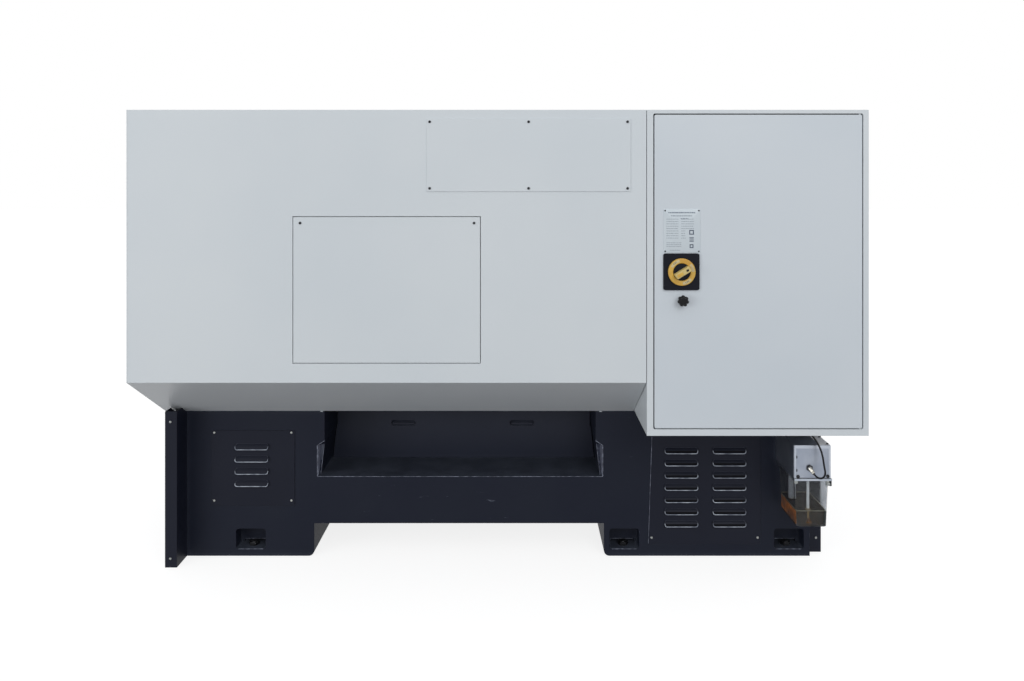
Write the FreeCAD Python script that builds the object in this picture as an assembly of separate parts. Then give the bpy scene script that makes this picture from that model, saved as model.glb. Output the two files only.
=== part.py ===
"""Flat-bed turning lathe with a full sheet-metal guard, rear electrical cabinet and cast base.

Millimetres. +X runs to the tailstock end, -Y is the operator's side, +Z is up.
The origin is on the floor, under the middle of the machine.
"""
import FreeCAD, Part
import math
import os

from FreeCAD import Vector

os.makedirs("parts", exist_ok=True)

# ---------------------------------------------------------------- whole machine
LENGTH = 2600.0          # over the white side panels
TAIL_X = LENGTH / 2
HEAD_X = -LENGTH / 2
REAR_Y = 765.0           # rear face of the white cover and of the cabinet
FRONT_Y = -640.0         # white front face
ROOF_Z = 1710.0          # top of guard and cabinet
GUARD_Z = 564.0          # lower edge of the white side panels
CHAMFER_Z = 1560.0       # where the front slopes back to the roof
CHAMFER_RUN = 150.0
SHEET = 3.0              # white guard sheet
DARK_SHEET = 3.0         # dark lower covers
SLIDE_GAP = 0.3          # between flat sliding faces
RUN_GAP = 0.05           # radial, shafts in their bearings
FREE_GAP = 0.4           # radial, round faces that only pass each other

# ---------------------------------------------------------------- cast base
BASE_TAIL_X = TAIL_X - 84.0
BASE_HEAD_X = HEAD_X + 93.0
BASE_REAR_Y = 465.0
BASE_DEPTH = 700.0
BASE_TOP_Z = 640.0
BASE_WALL = 26.0
BASE_DECK = 40.0         # deck under the bed
FOOT_THICK = 27.0
ARCH_X0 = BASE_HEAD_X + 801.0
ARCH_X1 = BASE_TAIL_X - 495.0
ARCH_Z = 127.0
ARCH_ROUND = 22.0
BAY_X0 = ARCH_X0 + 32.0  # tank bay, upper opening
BAY_X1 = ARCH_X1 - 40.0
BAY_FLARE = 28.0         # each side, below the step, at the rear face
BAY_FLARE_IN = 18.0      # each side, at the ledge, inside the bevel
BAY_STEP_IN = 5.0        # each side, under the shoulder, inside the bevel
BAY_BEVEL = 16.0         # how deep the bevel runs
BAY_LEDGE_Z = 310.0
BAY_STEP_Z = 430.0
BAY_FLARE_Z = 448.0
BAY_DEPTH = 540.0
CHIP_SLOT = (BAY_X0 + 74.0, BAY_X1 - 31.0)
CHIP_SLOT_HALF = 80.0
POCKET_X = (BASE_TAIL_X - 248.0, ARCH_X0 - 79.5, BASE_HEAD_X + 81.0)
POCKET_WIDE = 116.0
POCKET_HIGH = 79.0
POCKET_DEEP = 60.0
POCKET_SLOT_DEEP = 87.0  # the lower part of the pocket runs further in
POCKET_SLOT_HIGH = 13.0
POCKET_ROUND = 12.0
POCKET_WALL = 15.0
BOLT_R = 12.0
BOLT_LONG = 42.0
NUT_FLATS = 36.0
NUT_THICK = 12.0

# ---------------------------------------------------------------- louvred covers
MOTOR_COVER_X0 = BASE_HEAD_X + 192.0
MOTOR_COVER_X1 = MOTOR_COVER_X0 + 428.0
MOTOR_COVER_Z0 = 47.0
MOTOR_COVER_Z1 = 556.0
MOTOR_COVER_LEAN = 9.0   # the inner edge leans out by this much each way
VENT_COVER_X1 = BASE_TAIL_X - 95.0
VENT_COVER_X0 = VENT_COVER_X1 - 324.0
VENT_COVER_Z0 = 197.0
VENT_COVER_Z1 = 489.0
COVER_LAP = 22.0         # how far a cover laps over its opening
LOUVRE_LONG = 130.0
LOUVRE_PITCH = 47.3
LOUVRE_R = 25.0          # hood's radius
LOUVRE_SUNK = 15.0       # hood's axis behind the sheet
MOTOR_LOUVRE_X = (MOTOR_COVER_X0 + 308.5, MOTOR_COVER_X0 + 122.0)
MOTOR_LOUVRE_TOP_Z = 402.0
MOTOR_LOUVRE_COUNT = 7
VENT_LOUVRE_X = VENT_COVER_X0 + 165.0
VENT_LOUVRE_TOP_Z = 417.0
VENT_LOUVRE_COUNT = 4

# ---------------------------------------------------------------- dark end and front covers
TAIL_COVER_WIDE = 45.0
TAIL_COVER_REAR_Y = 555.0
TAIL_COVER_TOP_Z = 589.0  # at its rear edge, under the incline
INCLINE_GAP = 3.0
HEAD_COVER_WIDE = 56.0
HEAD_COVER_REAR_Y = 433.0
FRONT_COVER_Y = -560.0
FRONT_COVER_FOOT = 20.0
TRAY_LIP = 40.0

# ---------------------------------------------------------------- electrical cabinet
CABINET_WIDE = 777.0
CABINET_DEEP = 300.0
CABINET_Z0 = 568.0
CABINET_GAP = 2.0        # to the rear cover
DOOR_RIM_IN = 22.5       # rim beside the rear cover
DOOR_RIM_OUT = 19.0
DOOR_RIM_TOP = 13.0
DOOR_RIM_FOOT = 22.5
DOOR_GAP = 4.0
DOOR_DEEP = 20.0
DOOR_SHEET = 2.0
DOOR_ROUND = 6.0
RIM_DEEP = 26.0
PIVOT_R = 3.0
PIVOT_IN = 6.0           # pin's axis inside the leaf's edge
PIVOT_BACK = 6.0         # pin's axis behind the leaf's face
SWITCH_X = HEAD_X + CABINET_WIDE - 120.0
SWITCH_Z = 1143.0
SWITCH_PLATE = (126.0, 128.0, 6.0)
SWITCH_ROUND = 7.0
SWITCH_BODY = (64.0, 60.0)
RING_R = 47.6
RING_BORE_R = 30.5
RING_THICK = 8.0
HANDLE_HUB_R = 30.0
HANDLE_LONG = 58.0
HANDLE_WIDE = 19.0
HANDLE_PROUD = 39.0
HANDLE_TILT = 31.6       # degrees from level at rest
KNOB_X = SWITCH_X - 2.5
KNOB_Z = 1044.0
KNOB_R = 20.0
KNOB_LOBES = 7
KNOB_THICK = 16.0
KNOB_STEM_R = 7.0
KNOB_STEM = 16.0
LATCH_LONG = 112.0

GEAR_INSET = 50.0
GEAR_EDGE = 30.0
GEAR_SPACER = 12.0
GEAR_SPACER_R = 8.0
GEAR_SPACE = 6.0
DRIVE_ROW = (320.0, 270.0, 150.0, (150.0, 150.0, 220.0))       # drop from the plate's top, high, deep, widths
BREAKER_ROW = (520.0, 90.0, 75.0, (54.0,) * 9)
CONTACTOR_ROW = (690.0, 90.0, 75.0, (72.0, 72.0, 72.0, 45.0, 45.0, 45.0, 90.0))
TRANSFORMER = (190.0, 160.0, 130.0)
SUPPLY = (310.0, 110.0, 90.0)

# ---------------------------------------------------------------- white rear cover
INCLINE_Z = 753.5        # where the rear face folds forward
REAR_HEM = 40.0
TOP_FLANGE = 25.0
BEAM_COUNT = 4
BEAM_WIDE = 30.0
BEAM_HIGH = 20.0
LOWER_PANEL = (TAIL_X - 1238.5, TAIL_X - 584.0, 823.5, 1334.5)
PANEL_GAP = 2.5
PANEL_DEEP = 18.0
PANEL_LEDGE = 12.0
UPPER_PANEL = (HEAD_X + CABINET_WIDE + 57.0, HEAD_X + CABINET_WIDE + 772.0, ROOF_Z - 286.0, ROOF_Z - 31.0)
UPPER_PANEL_THICK = 2.0
SCREW_R = 5.5
SCREW_HEAD = 3.0

# ---------------------------------------------------------------- front guard and sliding door
OPEN_X0 = HEAD_X + 740.0
OPEN_X1 = TAIL_X - 800.0
OPEN_Z0 = 760.0
OPEN_Z1 = 1500.0
OPEN_RETURN = 20.0
RAIL_OUT = 25.0
RAIL_HIGH = 15.0
RAIL_OVER = 5.0          # rail's distance from the opening's edge
RAIL_END_X = TAIL_X - 75.0
PARTITION_BACK = 60.0    # partition behind the front sheet
DOOR_LAP = 15.0
SLIDE_DOOR_DEEP = 38.0
SLIDE_DOOR_OFF = 5.0
WINDOW = (OPEN_X0 + 180.0, OPEN_X1 - 180.0, 900.0, 1380.0)
WINDOW_ROUND = 40.0
WINDOW_THICK = 8.0
WINDOW_LAP = 18.0
GRIP_X = OPEN_X0 + 35.0
GRIP_Z = (1010.0, 1260.0)
GRIP_R = 11.0
GRIP_PROUD = 38.0

# ---------------------------------------------------------------- control pendant
PENDANT_WIDE = 380.0
PENDANT_HIGH = 500.0
PENDANT_DEEP = 100.0
PENDANT_Z0 = 950.0
PENDANT_PIVOT = (TAIL_X - 34.0, -740.0)
PENDANT_PIN_R = 14.0
PENDANT_SLEEVE_R = 22.0
PENDANT_BRACKET = 15.0
ESTOP_R = 20.0
ESTOP_STROKE = 4.0
DIAL_R = 32.0
DIAL_THICK = 16.0
DIAL_SHAFT = 15.0
DIAL_SHAFT_R = 8.0

# ---------------------------------------------------------------- bed, spindle line
AXIS_Y = 100.0
AXIS_Z = 1070.0
BED_X0 = HEAD_X + 210.0
BED_X1 = TAIL_X - 120.0
BED_WIDE = 360.0
BED_TOP_Z = 820.0
RAIL_WIDE = 90.0
RIB_COUNT = 9
RIB_THICK = 22.0
VEE_HIGH = 10.0
HEAD_X0 = BED_X0         # headstock casting
HEAD_X1 = HEAD_X0 + 660.0
HEAD_WIDE = 440.0
HEAD_TOP_Z = 1290.0
HEAD_WALL = 45.0
SPINDLE_BORE_R = 26.0
SPINDLE_R = 55.0
NOSE_R = 100.0
NOSE_THICK = 25.0
BEARING_R = 85.0
BEARING_WIDE = 60.0
SPINDLE_TAIL_X = HEAD_X0 - 150.0
CHUCK_R = 125.0
CHUCK_LONG = 100.0
CHUCK_BORE_R = 36.0
JAW_WIDE = 36.0
JAW_SLOT = 20.0
JAW_TEE = 32.0
JAW_TEE_DEEP = 12.0
JAW_IN_R = 45.0
JAW_OUT_R = 112.0
JAW_PROUD = 42.0
BELT_X0 = HEAD_X0 - 76.0
BELT_WIDE = 60.0
BELT_THICK = 7.0
RIM_HIGH = 5.0
RIM_WIDE = 4.0
BIG_PULLEY_R = 105.0
SMALL_PULLEY_R = 75.0
MOTOR_Z = 214.0
MOTOR_R = 128.0
MOTOR_LONG = 380.0
MOTOR_RAIL = 46.0
MOTOR_SHAFT_R = 21.0
MOTOR_OFF = 22.0         # from the belt to the motor's face
MOTOR_ROUND = 45.0
MOTOR_END = 40.0
MOTOR_FOOT = 60.0
SHAFT_IN = 110.0
FIN_COUNT = 5
FIN_PITCH = 36.0
FIN_HIGH = 14.0
FIN_THICK = 6.0

# ---------------------------------------------------------------- carriage, screw, tailstock
SADDLE_X = 0.0
SADDLE_LONG = 300.0
SADDLE_THICK = 80.0
SADDLE_OVER = 30.0
APRON_THICK = 70.0
APRON_Z0 = 690.0
DOVE_WIDE = 130.0
DOVE_HIGH = 24.0
DOVE_LEAN = 14.0
CROSS_WIDE = 190.0
CROSS_LONG = 280.0
CROSS_THICK = 58.0
CROSS_Y = -40.0
POST_SIDE = 120.0
POST_HIGH = 128.0
POST_SLOT = 28.0
POST_BOLT_R = 6.0
POST_BOLT_OFF = 48.0
POST_BOLT_PITCH = 34.0
POST_HUB_R = 22.0
POST_HUB_HIGH = 26.0
POST_LEVER = 60.0
TOOL_SIDE = 25.0
TOOL_OUT = 36.0
SCREW_Y = -118.0
SCREW_Z = 735.0
ZSCREW_R = 20.0
ZSCREW_X0 = HEAD_X1 + 10.0
ZSCREW_X1 = BED_X1 - 30.0
ZSCREW_END_R = 14.0
ZSCREW_END = 45.0
BLOCK_WIDE = 38.0        # half the bearing block's width
BLOCK_LOW = 45.0
BLOCK_HIGH = 40.0
BLOCK_FOOT = 22.0
SERVO_SIDE = 130.0
SERVO_LONG = 140.0
CROSS_SERVO_WIDE = 90.0
CROSS_SERVO_HIGH = 84.0
CROSS_SERVO_LONG = 150.0
CROSS_SERVO_FLANGE = 12.0
TAIL_X0 = BED_X1 - 320.0
TAIL_LONG = 250.0
TAIL_WIDE = 210.0
TAIL_ROUND = 85.0
TAIL_FOOT = 60.0
TAIL_INSET = 20.0        # column inside the foot's and barrel's ends
QUILL_R = 35.0
QUILL_LONG = 270.0
QUILL_OUT = 22.0
QUILL_SOCKET = 40.0
SHANK_R = 12.0
SHANK_LONG = 35.0
CENTRE_R = 27.0
CENTRE_BODY = 55.0
WHEEL_R = 90.0
WHEEL_SHAFT_R = 12.0
WHEEL_SHAFT = 205.0
WHEEL_OFF = 14.0         # rim's distance from the tailstock
WHEEL_RIM = 16.0
WHEEL_HUB = 33.0
WHEEL_HUB_R = 26.0
WHEEL_GRIP = 45.0
WHEEL_GRIP_R = 9.0

# ---------------------------------------------------------------- coolant tank
TANK_CLEAR = 4.0         # at the sides of the bay
TANK_BACK = 200.0        # panel behind the base's rear face
TANK_DEEP = 330.0
TANK_WALL = 4.0
TANK_PANEL = 6.0
TANK_Z1 = 560.0
TANK_RIM_Z = 470.0
GRIP_SLOT = (100.0, 22.0)
GRIP_SLOT_X = (BAY_X1 - 277.0, BAY_X0 + 286.0)
GRIP_SLOT_Z = 454.0
PUMP_X = BAY_X0 + 104.0
PUMP_R = 52.0
PUMP_HIGH = 86.0
PUMP_PIPE = 120.0
PUMP_PIPE_R = 28.0

# ---------------------------------------------------------------- lubricator
LUBE_X0 = BASE_HEAD_X - 1.0
LUBE_X1 = LUBE_X0 + 133.0
LUBE_DEEP = 200.0
LUBE_Z0 = 371.0
LUBE_Z1 = 500.0
LUBE_FLANGE = 6.0
OIL_Z0 = 202.0
OIL_WALL = 3.0
OIL_TAPER = 6.5
OIL_LEVEL = 257.0
SUCTION_R = 4.0
RETURN_R = 9.0
CABLE_R = 3.25
CONNECTOR_X = LUBE_X0 + 77.0
CONNECTOR_Z = 417.0
CONNECTOR_R = 8.0
GLAND_HIGH = 10.0
GLAND_R = 9.0
CABLE_ROUTE = [
    (LUBE_X0 + 68.5, 681.0, 403.5),
    (LUBE_X0 + 63.2, 687.2, 395.1),
    (LUBE_X0 + 54.0, 697.9, 391.5),
    (LUBE_X0 + 44.2, 708.1, 397.9),
    (LUBE_X0 + 37.6, 712.5, 414.3),
    (LUBE_X0 + 39.5, 702.0, 440.0),
    (LUBE_X0 + 41.5, 697.0, 468.0),
    (LUBE_X0 + 47.5, 693.0, 494.0),
    (LUBE_X0 + 58.5, 690.0, 517.0),
    (LUBE_X0 + 72.0, 688.5, 536.5),
    (LUBE_X0 + 80.5, 688.0, 548.5),
    (LUBE_X0 + 83.0, 688.0, 558.0),
]

# ---------------------------------------------------------------- derived places
BASE_FRONT_Y = BASE_REAR_Y - BASE_DEPTH
CABINET_X1 = HEAD_X + CABINET_WIDE
CABINET_Y0 = REAR_Y - CABINET_DEEP
COVER_X0 = CABINET_X1 + CABINET_GAP
COVER_X1 = TAIL_X - SHEET
BED_Y0 = AXIS_Y - BED_WIDE / 2
BED_Y1 = AXIS_Y + BED_WIDE / 2
BAY_TOP_Z = BASE_TOP_Z - BASE_DECK
RAIL_TOP_Z = OPEN_Z1 + RAIL_OVER + RAIL_HIGH
RAIL_FOOT_Z = OPEN_Z0 - RAIL_OVER - RAIL_HIGH
CHUCK_X0 = HEAD_X1 + NOSE_THICK
CHUCK_X1 = CHUCK_X0 + CHUCK_LONG


# ---------------------------------------------------------------- shape helpers
def slab(x0, x1, y0, y1, z0, z1):
    """A block between two corners."""
    return Part.makeBox(x1 - x0, y1 - y0, z1 - z0, Vector(x0, y0, z0))


def rod(radius, start, end):
    """A round bar from one point to another."""
    a = Vector(*start)
    b = Vector(*end)
    return Part.makeCylinder(radius, (b - a).Length, a, b - a)


def prism(points, along):
    """A closed outline of (x, y, z) points, carried along a vector."""
    corners = [Vector(*p) for p in points]
    outline = Part.makePolygon(corners + corners[:1])
    return Part.Face(outline).extrude(Vector(*along))


def turned(points, origin, axis):
    """A profile of (distance along the axis, radius) pairs, turned round the axis through origin."""
    along = Vector(*axis)
    side = Vector(0, 0, 1) if abs(along.z) < 0.5 else Vector(1, 0, 0)
    start = Vector(*origin)
    corners = [start + along * d + side * r for d, r in points]
    outline = Part.makePolygon(corners + corners[:1])
    return Part.Face(outline).revolve(start, along, 360)


def joined(shapes):
    """Several shapes as one solid."""
    whole = shapes[0]
    for shape in shapes[1:]:
        whole = whole.fuse(shape)
    return whole.removeSplitter()


def without(shape, cuts):
    """A shape with several others taken out of it."""
    for cut in cuts:
        shape = shape.cut(cut)
    return shape


def edges_along(shape, direction, keep):
    """Straight edges that run along a direction and whose middle passes the test."""
    way = Vector(*direction)
    found = []
    for edge in shape.Edges:
        if len(edge.Vertexes) != 2:
            continue
        run = edge.Vertexes[1].Point - edge.Vertexes[0].Point
        middle = edge.CenterOfMass
        if run.Length > 0.01 and run.cross(way).Length < 1e-6 * run.Length and keep(middle):
            found.append(edge)
    return found


def rounded(shape, radius, direction, keep=lambda middle: True):
    """A shape with those of its edges rounded that run along a direction."""
    return shape.makeFillet(radius, edges_along(shape, direction, keep))


def hexagon(flats, centre, height):
    """An upright hexagonal block, its lower face centred on a point."""
    corner = flats / math.sqrt(3)
    points = []
    for i in range(6):
        turn = math.radians(60 * i)
        points.append((centre[0] + corner * math.cos(turn), centre[1] + corner * math.sin(turn), centre[2]))
    return prism(points, (0, 0, height))


def tray_sheet(x0, x1, z0, z1, face_y, deep, thick, open_side=-1):
    """A sheet folded back on all four sides, its open side towards -Y (or +Y)."""
    back_y = face_y + open_side * deep
    outer = slab(x0, x1, min(face_y, back_y), max(face_y, back_y), z0, z1)
    near = face_y + open_side * thick
    far = back_y + open_side
    inner = slab(x0 + thick, x1 - thick, min(near, far), max(near, far), z0 + thick, z1 - thick)
    return outer.cut(inner)


def save(name, shape):
    """Write one named piece, or a group of separate solids."""
    if isinstance(shape, list):
        shape = Part.makeCompound([solid for part in shape for solid in part.Solids])
    elif len(shape.Solids) == 1:
        shape = shape.Solids[0]
    shape.exportStep("parts/" + name + ".step")


# ---------------------------------------------------------------- cast base and its covers
def pocket(x, side):
    """A levelling pocket's space; side is +1 at the rear face and -1 at the front."""
    face = BASE_REAR_Y if side > 0 else BASE_FRONT_Y
    y = sorted((face - side * POCKET_DEEP, face + side))
    block = slab(x - POCKET_WIDE / 2, x + POCKET_WIDE / 2, y[0], y[1], FOOT_THICK, FOOT_THICK + POCKET_HIGH)
    half = POCKET_WIDE / 2 - POCKET_ROUND
    slot_y = sorted((face - side * POCKET_SLOT_DEEP, face - side * (POCKET_DEEP - 1)))
    slot = slab(x - half, x + half, slot_y[0], slot_y[1], FOOT_THICK, FOOT_THICK + POCKET_SLOT_HIGH)
    return joined([rounded(block, POCKET_ROUND, (0, 1, 0)), slot])


def pocket_wall(x, side):
    """The casting's metal round one levelling pocket."""
    face = BASE_REAR_Y if side > 0 else BASE_FRONT_Y
    y = sorted((face - side * (POCKET_SLOT_DEEP + POCKET_WALL), face))
    half = POCKET_WIDE / 2 + POCKET_WALL
    return slab(x - half, x + half, y[0], y[1], 0, FOOT_THICK + POCKET_HIGH + POCKET_WALL)


def bolt_place(x, side):
    """Where a levelling bolt stands."""
    face = BASE_REAR_Y if side > 0 else BASE_FRONT_Y
    return x, face - side * POCKET_SLOT_DEEP / 2


def bay_outline(clear, y, z0, z1, step, foot):
    """The tank bay's section: wider by foot at the ledge and by step under its shoulder, straight above."""
    left = BAY_X0 + clear
    right = BAY_X1 - clear
    points = [(left - foot, y, z0), (right + foot, y, z0), (right + step, y, BAY_STEP_Z), (right, y, BAY_FLARE_Z)]
    points += [(right, y, z1), (left, y, z1), (left, y, BAY_FLARE_Z), (left - step, y, BAY_STEP_Z)]
    return points


def bay_bevel():
    """The space in front of the bay's inner edge, where its rear corner is bevelled."""
    rings = []
    inner_y = BASE_REAR_Y - BAY_BEVEL
    for y, step, foot in ((BASE_REAR_Y, BAY_FLARE, BAY_FLARE), (inner_y, BAY_STEP_IN, BAY_FLARE_IN)):
        points = [Vector(*p) for p in bay_outline(0, y, BAY_LEDGE_Z, BAY_TOP_Z, step, foot)]
        rings.append(Part.makePolygon(points + points[:1]))
    return Part.makeLoft(rings, True, True)


def base_casting():
    """Two pedestals and the bridge between them, cast in one, hollow, with the tank bay at the rear."""
    body = slab(BASE_HEAD_X, BASE_TAIL_X, BASE_FRONT_Y, BASE_REAR_Y, 0, BASE_TOP_Z)
    body = body.cut(slab(ARCH_X0, ARCH_X1, BASE_FRONT_Y - 1, BASE_REAR_Y + 1, -1, ARCH_Z))
    body = rounded(body, ARCH_ROUND, (0, 1, 0), lambda m: m.z < 1 and ARCH_X0 - 1 < m.x < ARCH_X1 + 1)
    inner_y = (BASE_FRONT_Y + BASE_WALL, BASE_REAR_Y - BASE_WALL)
    bay_low_x = BAY_X0 - BAY_FLARE
    bay_high_x = BAY_X1 + BAY_FLARE
    rooms = [
        (BASE_HEAD_X + BASE_WALL, min(ARCH_X0, bay_low_x) - BASE_WALL),
        (max(ARCH_X1, bay_high_x) + BASE_WALL, BASE_TAIL_X - BASE_WALL),
    ]
    walls = [pocket_wall(x, side) for x in POCKET_X for side in (1, -1)]
    for x0, x1 in rooms:
        room = slab(x0, x1, inner_y[0], inner_y[1], FOOT_THICK, BAY_TOP_Z)
        body = body.cut(without(room, walls))
    tunnel = slab(rooms[0][1] - 1, rooms[1][0] + 1, inner_y[0], inner_y[1], ARCH_Z + BASE_WALL,
                  BAY_LEDGE_Z - BASE_WALL)
    section = bay_outline(0, BASE_REAR_Y + 1, BAY_LEDGE_Z, BAY_TOP_Z, BAY_STEP_IN, BAY_FLARE_IN)
    bay = prism(section, (0, -BAY_DEPTH - 1, 0))
    chips = slab(CHIP_SLOT[0], CHIP_SLOT[1], AXIS_Y - CHIP_SLOT_HALF, AXIS_Y + CHIP_SLOT_HALF,
                 BAY_TOP_Z - 1, BASE_TOP_Z + 1)
    belt_half = BIG_PULLEY_R + BELT_THICK + 6
    belt = slab(BELT_X0 - 8, BELT_X0 + BELT_WIDE + 8, AXIS_Y - belt_half, AXIS_Y + belt_half, BAY_TOP_Z - 1,
                BASE_TOP_Z + 1)
    lap_x0 = MOTOR_COVER_X0 + COVER_LAP
    lap_x1 = MOTOR_COVER_X1 - MOTOR_COVER_LEAN - COVER_LAP
    motor_door = slab(lap_x0, lap_x1, inner_y[1] - 1,
                      BASE_REAR_Y + 1, MOTOR_COVER_Z0 + COVER_LAP, MOTOR_COVER_Z1 - COVER_LAP)
    vent_door = slab(VENT_COVER_X0 + COVER_LAP, VENT_COVER_X1 - COVER_LAP, inner_y[1] - 1, BASE_REAR_Y + 1,
                     VENT_COVER_Z0 + COVER_LAP, VENT_COVER_Z1 - COVER_LAP)
    cuts = [tunnel, bay, bay_bevel(), chips, belt, motor_door, vent_door]
    for x in POCKET_X:
        for side in (1, -1):
            bolt_x, bolt_y = bolt_place(x, side)
            cuts.append(pocket(x, side))
            cuts.append(rod(BOLT_R + 0.6, (bolt_x, bolt_y, -1), (bolt_x, bolt_y, FOOT_THICK + 1)))
    return without(body, cuts)


def levelling_bolts():
    """A bolt and its lock nut in each pocket; the bolts' points stand level with the casting's foot."""
    group = []
    for x in POCKET_X:
        for side in (1, -1):
            bolt_x, bolt_y = bolt_place(x, side)
            bolt = rod(BOLT_R - 0.1, (bolt_x, bolt_y, 0), (bolt_x, bolt_y, BOLT_LONG))
            nut = hexagon(NUT_FLATS, (bolt_x, bolt_y, FOOT_THICK), NUT_THICK)
            nut = nut.cut(rod(BOLT_R, (bolt_x, bolt_y, 0), (bolt_x, bolt_y, BOLT_LONG)))
            group += [bolt, nut]
    return group


def hood(x, slot_z, face_y, shrink):
    """A louvre's hood: a round bar's upper half, its ends rounded in plan, its open side down."""
    radius = LOUVRE_R - shrink
    half = LOUVRE_LONG / 2 - shrink
    proud = radius - LOUVRE_SUNK
    axis_y = face_y - LOUVRE_SUNK
    bar = rod(radius, (x - half, axis_y, slot_z), (x + half, axis_y, slot_z))
    upper = slab(x - half - 1, x + half + 1, face_y - DARK_SHEET - 1, face_y + LOUVRE_R, slot_z - shrink,
                 slot_z + LOUVRE_R)
    plan = slab(x - half, x + half, face_y - DARK_SHEET - 2, face_y + proud + 1, slot_z - 2, slot_z + LOUVRE_R)
    for end in (-1, 1):
        corner = slab(0, proud + 1, face_y, face_y + proud + 2, slot_z - 2, slot_z + LOUVRE_R)
        corner.translate(Vector(x + half - proud if end > 0 else x - half - 1, 0, 0))
        centre_x = x + end * (half - proud)
        corner = corner.cut(rod(proud, (centre_x, face_y, slot_z - 3), (centre_x, face_y, slot_z + LOUVRE_R + 1)))
        plan = plan.cut(corner)
    return bar.common(upper).common(plan)


def louvred(sheet, places):
    """A sheet with pressed louvres at (x, z) places."""
    face_y = BASE_REAR_Y + DARK_SHEET
    for x, z in places:
        shell = hood(x, z, face_y, 0)
        space = hood(x, z, face_y, 2.0)
        sheet = sheet.fuse(shell).cut(space)
    return sheet.removeSplitter()


def motor_cover():
    """The big louvred sheet over the motor's opening, its inner edge leaning."""
    x1 = MOTOR_COVER_X1
    lean = MOTOR_COVER_LEAN
    y = BASE_REAR_Y
    points = [(MOTOR_COVER_X0, y, MOTOR_COVER_Z0), (x1 + lean, y, MOTOR_COVER_Z0)]
    points += [(x1 - lean, y, MOTOR_COVER_Z1), (MOTOR_COVER_X0, y, MOTOR_COVER_Z1)]
    sheet = prism(points, (0, DARK_SHEET, 0))
    places = []
    for x in MOTOR_LOUVRE_X:
        for row in range(MOTOR_LOUVRE_COUNT):
            places.append((x, MOTOR_LOUVRE_TOP_Z - row * LOUVRE_PITCH))
    return louvred(sheet, places)


def vent_cover():
    """The small louvred sheet on the tailstock-end pedestal."""
    outer_y = BASE_REAR_Y + DARK_SHEET
    sheet = slab(VENT_COVER_X0, VENT_COVER_X1, BASE_REAR_Y, outer_y, VENT_COVER_Z0, VENT_COVER_Z1)
    places = [(VENT_LOUVRE_X, VENT_LOUVRE_TOP_Z - row * LOUVRE_PITCH) for row in range(VENT_LOUVRE_COUNT)]
    return louvred(sheet, places)


def folded(outline_xy, z0, z1):
    """A sheet's section in plan, carried upwards."""
    return prism([(x, y, z0) for x, y in outline_xy], (0, 0, z1 - z0))


def tailstock_end_cover():
    """Dark end sheet, folded round its rear edge; its top follows the incline."""
    t = DARK_SHEET
    x0 = BASE_TAIL_X
    x1 = BASE_TAIL_X + TAIL_COVER_WIDE
    rear = TAIL_COVER_REAR_Y
    front = FRONT_COVER_Y + t
    inner = BASE_REAR_Y - 25
    outline = [(x1, front), (x1, rear), (x0, rear), (x0, inner), (x0 + t, inner), (x0 + t, rear - t)]
    outline += [(x1 - t, rear - t), (x1 - t, front)]
    climb = (INCLINE_Z - GUARD_Z) / (REAR_Y - BASE_REAR_Y)
    low_y = BASE_REAR_Y + INCLINE_GAP / climb
    high_y = low_y + (TAIL_COVER_TOP_Z - GUARD_Z) / climb
    above = TAIL_COVER_TOP_Z + 1
    corner = [(front - 1, GUARD_Z), (low_y, GUARD_Z), (high_y, TAIL_COVER_TOP_Z)]
    corner += [(high_y, above), (front - 1, above)]
    under = prism([(x0 - 1, y, z) for y, z in corner], (TAIL_COVER_WIDE + 2, 0, 0))
    return folded(outline, 0, TAIL_COVER_TOP_Z).cut(under)


def headstock_end_cover():
    """Dark end sheet at the headstock end, its rear flange against the casting."""
    t = DARK_SHEET
    x0 = BASE_HEAD_X - HEAD_COVER_WIDE
    rear = HEAD_COVER_REAR_Y
    front = FRONT_COVER_Y + t
    outline = [(x0, front), (x0, rear), (BASE_HEAD_X, rear), (BASE_HEAD_X, rear - t), (x0 + t, rear - t)]
    outline += [(x0 + t, front)]
    return folded(outline, 0, GUARD_Z)


def front_lower_cover():
    """Dark front sheet with its ends folded back beside the end covers."""
    t = DARK_SHEET
    x0 = BASE_HEAD_X - HEAD_COVER_WIDE
    x1 = BASE_TAIL_X + TAIL_COVER_WIDE
    y = FRONT_COVER_Y
    top = GUARD_Z - DARK_SHEET
    sheet = slab(x0, x1, y, y + t, FRONT_COVER_FOOT, top)
    flange = slab(x0 + t, x1 - t, y, y + 30, top - t, top)
    foot = slab(x0 + t, x1 - t, y, y + 30, FRONT_COVER_FOOT, FRONT_COVER_FOOT + t)
    ends = [slab(x0 + t, x0 + 2 * t, y, y + 30, FRONT_COVER_FOOT, top)]
    ends.append(slab(x1 - 2 * t, x1 - t, y, y + 30, FRONT_COVER_FOOT, top))
    return joined([sheet, flange, foot] + ends)


def chip_tray():
    """Sheet tray from the casting's front face out over the front cover."""
    t = DARK_SHEET
    x0 = BASE_HEAD_X - HEAD_COVER_WIDE + t
    x1 = BASE_TAIL_X + TAIL_COVER_WIDE - t
    z0 = GUARD_Z - t
    front = FRONT_COVER_Y - 40
    floor = slab(x0, x1, front, BASE_FRONT_Y, z0, z0 + t)
    lip = slab(x0, x1, front, front + t, z0, z0 + TRAY_LIP)
    rear = slab(BASE_HEAD_X, BASE_TAIL_X, BASE_FRONT_Y - t, BASE_FRONT_Y, z0, z0 + TRAY_LIP)
    ends = [slab(x, x + t, front, BASE_FRONT_Y, z0, z0 + TRAY_LIP) for x in (x0, x1 - t)]
    return joined([floor, lip, rear] + ends)


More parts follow.
